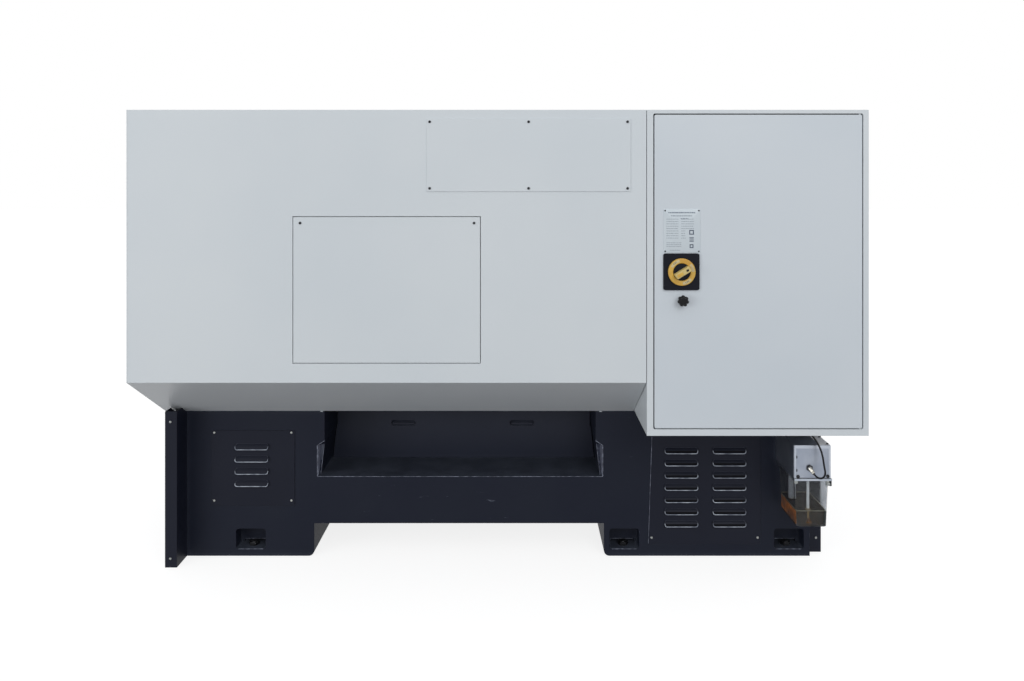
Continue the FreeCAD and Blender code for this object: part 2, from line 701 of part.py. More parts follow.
# ---------------------------------------------------------------- white guard
def rear_section():
    """The rear cover's section: top flange, rear face, incline and hem, as (y, z) pairs."""
    t = SHEET
    rise = REAR_Y - BASE_REAR_Y
    drop = INCLINE_Z - GUARD_Z
    slope = math.hypot(rise, drop)
    outer = [(REAR_Y - TOP_FLANGE, ROOF_Z), (REAR_Y, ROOF_Z), (REAR_Y, INCLINE_Z), (BASE_REAR_Y, GUARD_Z)]
    hem = [(BASE_REAR_Y, GUARD_Z + REAR_HEM), (BASE_REAR_Y + t, GUARD_Z + REAR_HEM)]
    inner = [(BASE_REAR_Y + t, GUARD_Z + t * drop / rise + t * slope / rise)]
    inner += [(REAR_Y - t, INCLINE_Z - t * drop / rise + t * slope / rise)]
    inner += [(REAR_Y - t, ROOF_Z - t), (REAR_Y - TOP_FLANGE, ROOF_Z - t)]
    return outer + hem + inner


def rear_cover():
    """White rear cowl, one folded sheet, with two access openings."""
    t = SHEET
    long_x = COVER_X1 - COVER_X0
    cowl = prism([(COVER_X0, y, z) for y, z in rear_section()], (long_x, 0, 0))
    x0, x1, z0, z1 = LOWER_PANEL
    g = PANEL_GAP
    deep = PANEL_DEEP + t
    frame = slab(x0 - g - t, x1 + g + t, REAR_Y - deep, REAR_Y - 1, z0 - g - t, z1 + g + t)
    hole = slab(x0 - g, x1 + g, REAR_Y - deep + t, REAR_Y + 1, z0 - g, z1 + g)
    through = slab(x0 + PANEL_LEDGE, x1 - PANEL_LEDGE, REAR_Y - deep - 1, REAR_Y + 1, z0 + PANEL_LEDGE,
                   z1 - PANEL_LEDGE)
    ux0, ux1, uz0, uz1 = UPPER_PANEL
    upper = slab(ux0 + COVER_LAP, ux1 - COVER_LAP, REAR_Y - t - 1, REAR_Y + 1, uz0 + COVER_LAP, uz1 - COVER_LAP)
    return without(joined([cowl, frame]), [hole, through, upper])


def lower_access_panel():
    """Flush panel with folded edges that rest on the cowl's inner ledge."""
    x0, x1, z0, z1 = LOWER_PANEL
    return tray_sheet(x0, x1, z0, z1, REAR_Y, PANEL_DEEP, SHEET)


def upper_access_panel():
    """Thin cover plate over the upper opening."""
    x0, x1, z0, z1 = UPPER_PANEL
    return slab(x0, x1, REAR_Y, REAR_Y + UPPER_PANEL_THICK, z0, z1)


def tailstock_side_panel():
    """Flat end sheet at the tailstock end, up to the outer faces of roof and rear cowl."""
    t = SHEET
    rear = [(REAR_Y, ROOF_Z), (REAR_Y, INCLINE_Z), (BASE_REAR_Y, GUARD_Z)]
    outline = [(FRONT_Y, GUARD_Z), (FRONT_Y, CHAMFER_Z), (FRONT_Y + CHAMFER_RUN, ROOF_Z)] + rear
    return prism([(TAIL_X - t, y, z) for y, z in outline], (t, 0, 0))


def headstock_side_panel():
    """End sheet beside the headstock with the hole for bar stock."""
    t = SHEET
    rear = [(CABINET_Y0, ROOF_Z), (CABINET_Y0, GUARD_Z)]
    outline = [(FRONT_Y, GUARD_Z), (FRONT_Y, CHAMFER_Z), (FRONT_Y + CHAMFER_RUN, ROOF_Z)] + rear
    panel = prism([(HEAD_X, y, z) for y, z in outline], (t, 0, 0))
    return panel.cut(rod(SPINDLE_BORE_R + 34, (HEAD_X - 1, AXIS_Y, AXIS_Z), (HEAD_X + t + 1, AXIS_Y, AXIS_Z)))


def roof_panel():
    """Top sheet with folded edges, stepped round the cabinet."""
    t = SHEET
    front = FRONT_Y + CHAMFER_RUN + TOP_FLANGE
    x0 = HEAD_X + t
    x1 = TAIL_X - t
    rear = REAR_Y - TOP_FLANGE
    z0 = ROOF_Z - t
    outline = [(x0, front), (x1, front), (x1, rear), (COVER_X0, rear), (COVER_X0, CABINET_Y0), (x0, CABINET_Y0)]
    top = folded(outline, z0, ROOF_Z)
    beams = []
    step = (x1 - x0) / (BEAM_COUNT + 1)
    for i in range(BEAM_COUNT):
        x = x0 + (i + 1) * step
        beams.append(slab(x, x + BEAM_WIDE, front + BEAM_WIDE, CABINET_Y0 - 80, z0 - BEAM_HIGH, z0))
    return joined([top] + beams)


def front_frame():
    """White front of one folded sheet with the doorway and the door's two rails."""
    t = SHEET
    x0 = HEAD_X + t
    x1 = TAIL_X - t
    run = CHAMFER_RUN
    rise = ROOF_Z - CHAMFER_Z
    slope = math.hypot(run, rise)
    step_z = t * (slope - run) / rise
    step_y = t * (slope - rise) / run
    outer = [(FRONT_Y + 25, GUARD_Z), (FRONT_Y, GUARD_Z), (FRONT_Y, CHAMFER_Z), (FRONT_Y + run, ROOF_Z)]
    outer += [(FRONT_Y + run + TOP_FLANGE, ROOF_Z), (FRONT_Y + run + TOP_FLANGE, ROOF_Z - t)]
    inner = [(FRONT_Y + run + step_y, ROOF_Z - t), (FRONT_Y + t, CHAMFER_Z - step_z), (FRONT_Y + t, GUARD_Z + t)]
    inner += [(FRONT_Y + 25, GUARD_Z + t)]
    sheet = prism([(x0, y, z) for y, z in outer + inner], (x1 - x0, 0, 0))
    rim = slab(OPEN_X0 - t, OPEN_X1 + t, FRONT_Y + 1, FRONT_Y + OPEN_RETURN, OPEN_Z0 - t, OPEN_Z1 + t)
    hole = slab(OPEN_X0, OPEN_X1, FRONT_Y - 1, FRONT_Y + OPEN_RETURN + 1, OPEN_Z0, OPEN_Z1)
    rail_x = OPEN_X0 - DOOR_LAP
    rails = [
        slab(rail_x, RAIL_END_X, FRONT_Y - RAIL_OUT, FRONT_Y + 1, RAIL_TOP_Z - RAIL_HIGH, RAIL_TOP_Z),
        slab(rail_x, RAIL_END_X, FRONT_Y - RAIL_OUT, FRONT_Y + 1, RAIL_FOOT_Z, RAIL_FOOT_Z + RAIL_HIGH),
    ]
    return joined([sheet, rim] + rails).cut(hole)


def splash_guard():
    """Inner sheet behind the work, with the partition that the chuck passes through."""
    t = SHEET
    left = (CHUCK_X0 + HEAD_X1 + NOSE_THICK) / 2 + 10
    right = TAIL_X - t
    rear = CABINET_Y0 - 62
    top = ROOF_Z - t - 20
    back = slab(left, right, rear, rear + t, BASE_TOP_Z, top)
    front = FRONT_Y + PARTITION_BACK
    slope_y = front + (top - CHAMFER_Z) * CHAMFER_RUN / (ROOF_Z - CHAMFER_Z)
    outline = [(front, BASE_TOP_Z), (front, CHAMFER_Z), (slope_y, top), (rear + t, top), (rear + t, BASE_TOP_Z)]
    part = prism([(left, y, z) for y, z in outline], (t, 0, 0))
    part = part.cut(rod(CHUCK_R + 12, (left - 1, AXIS_Y, AXIS_Z), (left + t + 1, AXIS_Y, AXIS_Z)))
    low = slab(left - 1, left + t + 1, BASE_FRONT_Y + 40, BED_Y1 + 12, BASE_TOP_Z - 1, BED_TOP_Z + 12)
    return joined([back, part.cut(low)])


# ---------------------------------------------------------------- electrical cabinet
def leaf_box():
    """The cabinet door leaf's edges: x0, x1, z0, z1."""
    x0 = HEAD_X + DOOR_RIM_OUT + DOOR_GAP
    x1 = CABINET_X1 - DOOR_RIM_IN - DOOR_GAP
    z0 = CABINET_Z0 + DOOR_RIM_FOOT + DOOR_GAP
    z1 = ROOF_Z - DOOR_RIM_TOP - DOOR_GAP
    return x0, x1, z0, z1


def pivot_place():
    """The cabinet door's upright hinge line."""
    return leaf_box()[0] + PIVOT_IN, REAR_Y - PIVOT_BACK


def cabinet_body():
    """Folded cabinet shell with its door rim, pivot studs and the cable gland below."""
    t = SHEET
    shell = slab(HEAD_X, CABINET_X1, CABINET_Y0, REAR_Y, CABINET_Z0, ROOF_Z)
    shell = shell.cut(slab(HEAD_X + t, CABINET_X1 - t, CABINET_Y0 + t, REAR_Y - t, CABINET_Z0 + t, ROOF_Z - t))
    x0, x1, z0, z1 = leaf_box()
    g = DOOR_GAP
    rim = slab(x0 - g - t, x1 + g + t, REAR_Y - RIM_DEEP, REAR_Y - 1, z0 - g - t, z1 + g + t)
    hole = rounded(slab(x0 - g, x1 + g, REAR_Y - RIM_DEEP - 1, REAR_Y + 1, z0 - g, z1 + g), DOOR_ROUND, (0, 1, 0))
    shell = joined([shell, rim]).cut(hole)
    px, py = pivot_place()
    studs = [rod(PIVOT_R, (px, py, z1 + g + 1), (px, py, z1 - DOOR_SHEET - 4))]
    studs.append(rod(PIVOT_R, (px, py, z0 - g - 1), (px, py, z0 + DOOR_SHEET + 4)))
    gx, gy = CABLE_ROUTE[-1][0], CABLE_ROUTE[-1][1]
    gland = rod(GLAND_R, (gx, gy, CABINET_Z0 - GLAND_HIGH), (gx, gy, CABINET_Z0 + 1))
    return joined([shell, gland] + studs)


def cabinet_door():
    """Folded leaf with holes for its pivots, the switch and the knob."""
    x0, x1, z0, z1 = leaf_box()
    leaf = slab(x0, x1, REAR_Y - DOOR_DEEP, REAR_Y, z0, z1)
    leaf = rounded(leaf, DOOR_ROUND, (0, 1, 0))
    s = DOOR_SHEET
    leaf = leaf.cut(slab(x0 + s, x1 - s, REAR_Y - DOOR_DEEP - 1, REAR_Y - s, z0 + s, z1 - s))
    px, py = pivot_place()
    bore = rod(PIVOT_R + RUN_GAP, (px, py, z0 - 1), (px, py, z1 + 1))
    body_r = SWITCH_BODY[0] / 2
    switch = rod(body_r + 0.5, (SWITCH_X, REAR_Y - s - 1, SWITCH_Z), (SWITCH_X, REAR_Y + 1, SWITCH_Z))
    stem = rod(KNOB_STEM_R + RUN_GAP, (KNOB_X, REAR_Y - s - 1, KNOB_Z), (KNOB_X, REAR_Y + 1, KNOB_Z))
    return without(leaf, [bore, switch, stem])


def switch_plate():
    """Black plate with the switch's round body behind it."""
    wide, high, thick = SWITCH_PLATE
    plate = slab(SWITCH_X - wide / 2, SWITCH_X + wide / 2, REAR_Y, REAR_Y + thick, SWITCH_Z - high / 2,
                 SWITCH_Z + high / 2)
    plate = rounded(plate, SWITCH_ROUND, (0, 1, 0))
    body = rod(SWITCH_BODY[0] / 2, (SWITCH_X, REAR_Y - SWITCH_BODY[1], SWITCH_Z), (SWITCH_X, REAR_Y + 1, SWITCH_Z))
    return joined([plate, body])


def switch_ring():
    """Ring on the plate, round the handle's hub, with a bevelled edge."""
    face = REAR_Y + SWITCH_PLATE[2]
    points = [(0, RING_BORE_R), (0, RING_R), (RING_THICK - 3, RING_R), (RING_THICK, RING_R - 3)]
    points.append((RING_THICK, RING_BORE_R))
    return turned(points, (SWITCH_X, face, SWITCH_Z), (0, 1, 0))


def switch_handle():
    """Hub and grip bar, tilted up to the operator's left."""
    face = REAR_Y + SWITCH_PLATE[2]
    hub = rod(HANDLE_HUB_R, (SWITCH_X, face + SLIDE_GAP, SWITCH_Z), (SWITCH_X, face + RING_THICK + 4, SWITCH_Z))
    half = HANDLE_LONG / 2
    bar = slab(SWITCH_X - half, SWITCH_X + half, face + RING_THICK, REAR_Y + HANDLE_PROUD,
               SWITCH_Z - HANDLE_WIDE / 2, SWITCH_Z + HANDLE_WIDE / 2)
    bar = rounded(bar, HANDLE_WIDE / 2 - 1, (0, 1, 0))
    hole_x = SWITCH_X - half + 8
    bar = bar.cut(rod(2.5, (hole_x, face, SWITCH_Z), (hole_x, REAR_Y + HANDLE_PROUD + 1, SWITCH_Z)))
    handle = joined([hub, bar])
    handle.rotate(Vector(SWITCH_X, 0, SWITCH_Z), Vector(0, 1, 0), HANDLE_TILT)
    return handle


def door_knob():
    """Star knob with its stem and the latch tongue inside the door, tongue hanging down."""
    face = REAR_Y
    crown = face + KNOB_STEM
    knob = rod(KNOB_R * 0.78, (KNOB_X, crown, KNOB_Z), (KNOB_X, crown + KNOB_THICK, KNOB_Z))
    lobes = []
    for i in range(KNOB_LOBES):
        turn = 2 * math.pi * i / KNOB_LOBES
        x = KNOB_X + KNOB_R * 0.72 * math.cos(turn)
        z = KNOB_Z + KNOB_R * 0.72 * math.sin(turn)
        lobes.append(rod(KNOB_R * 0.28, (x, crown, z), (x, crown + KNOB_THICK, z)))
    back = face - DOOR_DEEP - 10
    stem = rod(KNOB_STEM_R, (KNOB_X, back, KNOB_Z), (KNOB_X, crown + 1, KNOB_Z))
    collar = rod(KNOB_STEM_R + 4, (KNOB_X, face + SLIDE_GAP, KNOB_Z), (KNOB_X, crown + 1, KNOB_Z))
    tongue = slab(KNOB_X - 10, KNOB_X + 10, back - 4, back + 0.5, KNOB_Z - LATCH_LONG, KNOB_Z + 10)
    return joined([knob] + lobes + [stem, collar, tongue])


def control_gear():
    """Mounting plate on spacers with the drives, contactors, breakers and transformer."""
    back = CABINET_Y0 + SHEET
    x0 = HEAD_X + GEAR_INSET
    x1 = CABINET_X1 - GEAR_INSET
    z0 = CABINET_Z0 + GEAR_INSET
    z1 = ROOF_Z - GEAR_INSET
    plate_y = back + GEAR_SPACER
    front = plate_y + SHEET
    group = [slab(x0, x1, plate_y, front, z0, z1)]
    for x in (x0 + GEAR_EDGE, x1 - GEAR_EDGE):
        for z in (z0 + GEAR_EDGE, z1 - GEAR_EDGE):
            group.append(rod(GEAR_SPACER_R, (x, back, z), (x, plate_y, z)))
    for drop, high, deep, widths in (DRIVE_ROW, BREAKER_ROW, CONTACTOR_ROW):
        x = x0 + GEAR_EDGE
        row_z = z1 - drop
        for wide in widths:
            group.append(slab(x, x + wide, front, front + deep, row_z, row_z + high))
            x += wide + GEAR_SPACE
    x = x0 + GEAR_EDGE
    z = z0 + GEAR_EDGE
    for wide, high, deep in (TRANSFORMER, SUPPLY):
        group.append(slab(x, x + wide, front, front + deep, z, z + high))
        x += wide + GEAR_EDGE
    return group


# ---------------------------------------------------------------- sliding front door
def front_door():
    """Sheet door hooked over both rails, its side folds short enough to pass in front of them."""
    t = SHEET
    x0 = OPEN_X0 - DOOR_LAP
    x1 = OPEN_X1 + DOOR_LAP
    z0 = RAIL_FOOT_Z - SLIDE_GAP - t
    z1 = RAIL_TOP_Z + SLIDE_GAP + t
    rear = FRONT_Y - SLIDE_DOOR_OFF
    face = rear - SLIDE_DOOR_DEEP
    door = tray_sheet(x0, x1, z0, z1, face, SLIDE_DOOR_DEEP, t, open_side=1)
    short = slab(x0 - 1, x1 + 1, FRONT_Y - RAIL_OUT - 5, rear + 1, z0 + t, z1 - t)
    wx0, wx1, wz0, wz1 = WINDOW
    hole = rounded(slab(wx0, wx1, face - 1, rear, wz0, wz1), WINDOW_ROUND, (0, 1, 0))
    return without(door, [short, hole])


def door_window():
    """Laminated pane behind the door's sheet."""
    rear = FRONT_Y - SLIDE_DOOR_OFF
    face = rear - SLIDE_DOOR_DEEP + SHEET
    wx0, wx1, wz0, wz1 = WINDOW
    lap = WINDOW_LAP
    return slab(wx0 - lap, wx1 + lap, face, face + WINDOW_THICK, wz0 - lap, wz1 + lap)


def front_door_handle():
    """Bow handle of round bar on two feet."""
    face = FRONT_Y - SLIDE_DOOR_OFF - SLIDE_DOOR_DEEP
    y = face - GRIP_PROUD
    grip = rod(GRIP_R, (GRIP_X, y, GRIP_Z[0] - 20), (GRIP_X, y, GRIP_Z[1] + 20))
    feet = [rod(GRIP_R * 0.8, (GRIP_X, face, z), (GRIP_X, y, z)) for z in GRIP_Z]
    return joined([grip] + feet)


# ---------------------------------------------------------------- control pendant
def pendant_column():
    """Two brackets on the guard's front with the upright pivot tube between them."""
    px, py = PENDANT_PIVOT
    z0 = PENDANT_Z0
    z1 = PENDANT_Z0 + PENDANT_HIGH
    b = PENDANT_BRACKET
    shapes = [rod(PENDANT_PIN_R, (px, py, z0 - b), (px, py, z1 + b))]
    for z in (z0 - b, z1):
        shapes.append(slab(px - 25, px + 25, py, FRONT_Y, z, z + b))
        shapes.append(rod(25, (px, py, z), (px, py, z + b)))
    shapes.append(slab(px - 25, px + 25, FRONT_Y - 6, FRONT_Y, z0 - 40, z1 + 40))
    return joined(shapes)


def pendant_face():
    """The pendant's left, right and front edges."""
    x1 = PENDANT_PIVOT[0] - PENDANT_SLEEVE_R - 4
    return x1 - PENDANT_WIDE, x1, PENDANT_PIVOT[1] - PENDANT_DEEP / 2


def pendant_box():
    """Control box with its screen recess, keys, button bosses and hinge sleeve."""
    px, py = PENDANT_PIVOT
    x0, x1, front = pendant_face()
    z0 = PENDANT_Z0 + SLIDE_GAP
    z1 = PENDANT_Z0 + PENDANT_HIGH - SLIDE_GAP
    rear = py + PENDANT_DEEP / 2
    box = rounded(slab(x0, x1, front, rear, z0, z1), 12, (0, 1, 0))
    box = box.cut(slab(x0 + 30, x1 - 70, front - 1, front + 6, z1 - 220, z1 - 30))
    keys = []
    for row in range(4):
        for column in range(7):
            kx = x0 + 32 + column * 32
            kz = z0 + 130 + row * 30
            keys.append(slab(kx, kx + 24, front - 3, front + 1, kz, kz + 22))
    sleeve = rod(PENDANT_SLEEVE_R, (px, py, z0), (px, py, z1))
    web = slab(x1 - 5, px, py - 10, py + 10, z0, z1)
    bore = rod(PENDANT_PIN_R + RUN_GAP, (px, py, z0 - 1), (px, py, z1 + 1))
    estop = rod(9.3, (x1 - 50, front - 1, z0 + 60), (x1 - 50, front + 30, z0 + 60))
    dial = rod(8.3, (x0 + 110, front - 1, z0 + 60), (x0 + 110, front + 20, z0 + 60))
    return without(joined([box, sleeve, web] + keys), [bore, estop, dial])


def estop():
    """Mushroom button with its stem in the box."""
    x0, x1, front = pendant_face()
    z = PENDANT_Z0 + SLIDE_GAP + 60
    x = x1 - 50
    points = [(-20, 0), (-20, 9), (ESTOP_STROKE + 1, 9), (ESTOP_STROKE + 2, ESTOP_R)]
    points += [(14, ESTOP_R), (20, ESTOP_R - 8), (21, 0)]
    return turned(points, (x, front, z), (0, -1, 0))


def mpg_dial():
    """Hand-pulse dial with its small crank knob."""
    x0, x1, front = pendant_face()
    z = PENDANT_Z0 + SLIDE_GAP + 60
    x = x0 + 110
    points = [(-DIAL_SHAFT, 0), (-DIAL_SHAFT, DIAL_SHAFT_R), (SLIDE_GAP, DIAL_SHAFT_R), (SLIDE_GAP, DIAL_R)]
    points += [(DIAL_THICK - 2, DIAL_R), (DIAL_THICK, DIAL_R - 3), (DIAL_THICK, 0)]
    dial = turned(points, (x, front, z), (0, -1, 0))
    knob = rod(5, (x, front - 15, z + DIAL_R - 11), (x, front - 26, z + DIAL_R - 11))
    return joined([dial, knob])


# ---------------------------------------------------------------- bed and headstock
def bed():
    """Cast bed: two ways joined by cross ribs, flat rear way and a raised vee on the front way."""
    body = slab(BED_X0, BED_X1, BED_Y0, BED_Y1, BASE_TOP_Z, BED_TOP_Z)
    pitch = (BED_X1 - BED_X0 - RIB_THICK) / RIB_COUNT
    cuts = []
    for i in range(RIB_COUNT):
        x = BED_X0 + RIB_THICK + i * pitch
        cuts.append(slab(x, x + pitch - RIB_THICK, BED_Y0 + RAIL_WIDE, BED_Y1 - RAIL_WIDE, BASE_TOP_Z - 1,
                         BED_TOP_Z + 1))
    for y0, y1 in ((BED_Y0 - 1, BED_Y0 + 22), (BED_Y1 - 22, BED_Y1 + 1)):
        cuts.append(slab(BED_X0 - 1, BED_X1 + 1, y0, y1, BASE_TOP_Z + 32, BED_TOP_Z - 34))
    cuts.append(slab(HEAD_X1 + 20, BED_X1 + 1, BED_Y0 + RAIL_WIDE - 1, BED_Y1 - RAIL_WIDE + 1, BED_TOP_Z - 40,
                     BED_TOP_Z + 1))
    vee_y = BED_Y0 + RAIL_WIDE / 2
    vee = [(HEAD_X1, vee_y - 14, BED_TOP_Z), (HEAD_X1, vee_y, BED_TOP_Z + VEE_HIGH)]
    vee.append((HEAD_X1, vee_y + 14, BED_TOP_Z))
    return joined([without(body, cuts), prism(vee, (BED_X1 - HEAD_X1, 0, 0))])


def headstock_casting():
    """Headstock housing with its spindle bore and bearing seats."""
    y0 = AXIS_Y - HEAD_WIDE / 2
    y1 = AXIS_Y + HEAD_WIDE / 2
    body = slab(HEAD_X0, HEAD_X1, y0, y1, BED_TOP_Z, HEAD_TOP_Z)
    body = rounded(body, 40, (1, 0, 0), lambda m: m.z > HEAD_TOP_Z - 1)
    bore = rod(SPINDLE_R + 12, (HEAD_X0 - 1, AXIS_Y, AXIS_Z), (HEAD_X1 + 1, AXIS_Y, AXIS_Z))
    seats = [rod(BEARING_R, (x, AXIS_Y, AXIS_Z), (x + BEARING_WIDE + 1, AXIS_Y, AXIS_Z))
             for x in (HEAD_X0 - 1, HEAD_X1 - BEARING_WIDE)]
    room = slab(HEAD_X0 + BEARING_WIDE + 25, HEAD_X1 - BEARING_WIDE - 25, y0 + HEAD_WALL, y1 - HEAD_WALL,
                BED_TOP_Z + HEAD_WALL, HEAD_TOP_Z - HEAD_WALL)
    return without(body, [bore, room] + seats)


def spindle_bearings():
    """Bearing rings in both seats."""
    group = []
    for x in (HEAD_X0, HEAD_X1 - BEARING_WIDE):
        ring = rod(BEARING_R - RUN_GAP, (x, AXIS_Y, AXIS_Z), (x + BEARING_WIDE, AXIS_Y, AXIS_Z))
        hole = rod(SPINDLE_R + RUN_GAP, (x - 1, AXIS_Y, AXIS_Z), (x + BEARING_WIDE + 1, AXIS_Y, AXIS_Z))
        group.append(ring.cut(hole))
    return group


def spindle():
    """Hollow spindle: nose flange, bearing length and the tail for the pulley."""
    length = HEAD_X1 - SPINDLE_TAIL_X
    points = [(0, SPINDLE_BORE_R), (0, SPINDLE_R - 8), (8, SPINDLE_R), (length + SLIDE_GAP, SPINDLE_R)]
    points += [(length + SLIDE_GAP, NOSE_R), (length + NOSE_THICK, NOSE_R), (length + NOSE_THICK, SPINDLE_BORE_R)]
    return turned(points, (SPINDLE_TAIL_X, AXIS_Y, AXIS_Z), (1, 0, 0))


def belt_wheel(radius, bore, x, y, z):
    """A belt pulley, its face between two raised rims."""
    r1 = radius + RIM_HIGH
    inner = RIM_WIDE
    outer = BELT_WIDE + RIM_WIDE
    points = [(-inner, bore), (-inner, r1), (0, r1), (0, radius), (BELT_WIDE, radius), (BELT_WIDE, r1)]
    points += [(outer, r1), (outer, bore)]
    return turned(points, (x, y, z), (1, 0, 0))


def spindle_pulley():
    """Rimmed pulley on the spindle's tail."""
    return belt_wheel(BIG_PULLEY_R, SPINDLE_R, BELT_X0, AXIS_Y, AXIS_Z)


def drive_belt():
    """Belt round both pulleys: two arcs and the straight runs that touch them."""
    def loop(extra):
        r1 = BIG_PULLEY_R + extra
        r2 = SMALL_PULLEY_R + extra
        span = AXIS_Z - MOTOR_Z
        tilt = math.asin((r1 - r2) / span)
        x = BELT_X0 + 1

        def at(radius, centre_z, angle):
            return Vector(x, AXIS_Y + radius * math.cos(angle), centre_z + radius * math.sin(angle))

        top = Part.Arc(at(r1, AXIS_Z, -tilt), at(r1, AXIS_Z, math.pi / 2), at(r1, AXIS_Z, math.pi + tilt))
        foot = Part.Arc(at(r2, MOTOR_Z, math.pi + tilt), at(r2, MOTOR_Z, -math.pi / 2), at(r2, MOTOR_Z, -tilt))
        left = Part.LineSegment(at(r1, AXIS_Z, math.pi + tilt), at(r2, MOTOR_Z, math.pi + tilt))
        right = Part.LineSegment(at(r2, MOTOR_Z, -tilt), at(r1, AXIS_Z, -tilt))
        wire = Part.Wire([top.toShape(), left.toShape(), foot.toShape(), right.toShape()])
        return Part.Face(wire).extrude(Vector(BELT_WIDE - 2, 0, 0))

    return loop(FREE_GAP + BELT_THICK).cut(loop(FREE_GAP))


def main_motor():
    """Finned motor body on two slide rails in the headstock pedestal."""
    x0 = BELT_X0 + BELT_WIDE + MOTOR_OFF
    x1 = x0 + MOTOR_LONG
    side = MOTOR_R * 0.86
    body = slab(x0, x1, AXIS_Y - side, AXIS_Y + side, MOTOR_Z - side, MOTOR_Z + side)
    body = rounded(body, MOTOR_ROUND, (1, 0, 0))
    fins = []
    fin_y = side + FIN_HIGH
    for i in range(FIN_COUNT):
        z = MOTOR_Z + (i - (FIN_COUNT - 1) / 2) * FIN_PITCH
        z1 = z + FIN_THICK
        fins.append(slab(x0 + MOTOR_END, x1 - MOTOR_END, AXIS_Y + side - 1, AXIS_Y + fin_y, z, z1))
        fins.append(slab(x0 + MOTOR_END, x1 - MOTOR_END, AXIS_Y - fin_y, AXIS_Y - side + 1, z, z1))
    rail_top = FOOT_THICK + MOTOR_RAIL
    feet_x = (x0 + MOTOR_END, x1 - MOTOR_END - MOTOR_FOOT)
    feet = [slab(x, x + MOTOR_FOOT, AXIS_Y - side, AXIS_Y + side, rail_top, MOTOR_Z) for x in feet_x]
    bore = rod(MOTOR_SHAFT_R + RUN_GAP, (x0 - 1, AXIS_Y, MOTOR_Z), (x0 + SHAFT_IN + 10, AXIS_Y, MOTOR_Z))
    motor = joined([body] + fins + feet).cut(bore)
    reach = side + MOTOR_FOOT
    rails = [slab(x, x + MOTOR_FOOT, AXIS_Y - reach, AXIS_Y + reach, FOOT_THICK, rail_top) for x in feet_x]
    return [motor] + rails


def motor_rotor():
    """Motor shaft and its rimmed pulley."""
    x0 = BELT_X0 + BELT_WIDE + MOTOR_OFF
    shaft = rod(MOTOR_SHAFT_R, (BELT_X0 - RIM_WIDE, AXIS_Y, MOTOR_Z), (x0 + SHAFT_IN, AXIS_Y, MOTOR_Z))
    return [shaft, belt_wheel(SMALL_PULLEY_R, MOTOR_SHAFT_R, BELT_X0, AXIS_Y, MOTOR_Z)]


# ---------------------------------------------------------------- chuck
def about_spindle(shape, number):
    """Turn a shape that points up to the place of jaw 1, 2 or 3."""
    shape.rotate(Vector(0, AXIS_Y, AXIS_Z), Vector(1, 0, 0), 120 * (number - 1))
    return shape


def chuck_body():
    """Round chuck with three radial tee slots."""
    points = [(0, CHUCK_BORE_R), (0, CHUCK_R), (CHUCK_LONG - 6, CHUCK_R), (CHUCK_LONG, CHUCK_R - 6)]
    points.append((CHUCK_LONG, CHUCK_BORE_R))
    body = turned(points, (CHUCK_X0, AXIS_Y, AXIS_Z), (1, 0, 0))
    g = SLIDE_GAP
    for number in (1, 2, 3):
        z1 = AXIS_Z + CHUCK_R + 5
        neck = slab(CHUCK_X1 - JAW_TEE_DEEP - 1, CHUCK_X1 + 1, AXIS_Y - JAW_SLOT / 2 - g,
                    AXIS_Y + JAW_SLOT / 2 + g, AXIS_Z, z1)
        tee = slab(CHUCK_X1 - 2 * JAW_TEE_DEEP - g, CHUCK_X1 - JAW_TEE_DEEP + g, AXIS_Y - JAW_TEE / 2 - g,
                   AXIS_Y + JAW_TEE / 2 + g, AXIS_Z, z1)
        body = body.cut(about_spindle(joined([neck, tee]), number))
    return body


def jaw(number):
    """Stepped jaw with its tee in the chuck's slot."""
    y = AXIS_Y
    z0 = AXIS_Z + JAW_IN_R
    z1 = AXIS_Z + JAW_OUT_R
    g = SLIDE_GAP
    face = CHUCK_X1 + g
    steps = JAW_PROUD / 3
    tee = slab(CHUCK_X1 - 2 * JAW_TEE_DEEP, CHUCK_X1 - JAW_TEE_DEEP, y - JAW_TEE / 2, y + JAW_TEE / 2, z0, z1)
    neck = slab(CHUCK_X1 - JAW_TEE_DEEP - 1, face + 1, y - JAW_SLOT / 2, y + JAW_SLOT / 2, z0, z1)
    top = slab(face, face + JAW_PROUD, y - JAW_WIDE / 2, y + JAW_WIDE / 2, z0, z0 + 22)
    middle = slab(face, face + 2 * steps, y - JAW_WIDE / 2, y + JAW_WIDE / 2, z0, z0 + 44)
    low = slab(face, face + steps, y - JAW_WIDE / 2, y + JAW_WIDE / 2, z0, z1)
    nose = rod(JAW_IN_R - 4, (CHUCK_X0, AXIS_Y, AXIS_Z), (face + JAW_PROUD + 1, AXIS_Y, AXIS_Z))
    return about_spindle(joined([tee, neck, top, middle, low]).cut(nose), number)


# ---------------------------------------------------------------- carriage and tailstock
def vee_groove(x0, x1):
    """The space over the front way's vee, with its running gap."""
    vee_y = BED_Y0 + RAIL_WIDE / 2
    g = SLIDE_GAP
    half = 14 + 2 * g
    z = BED_TOP_Z - 1
    points = [(x0, vee_y - half - 1, z), (x0, vee_y, BED_TOP_Z + VEE_HIGH + 2 * g), (x0, vee_y + half + 1, z)]
    return prism(points, (x1 - x0, 0, 0))


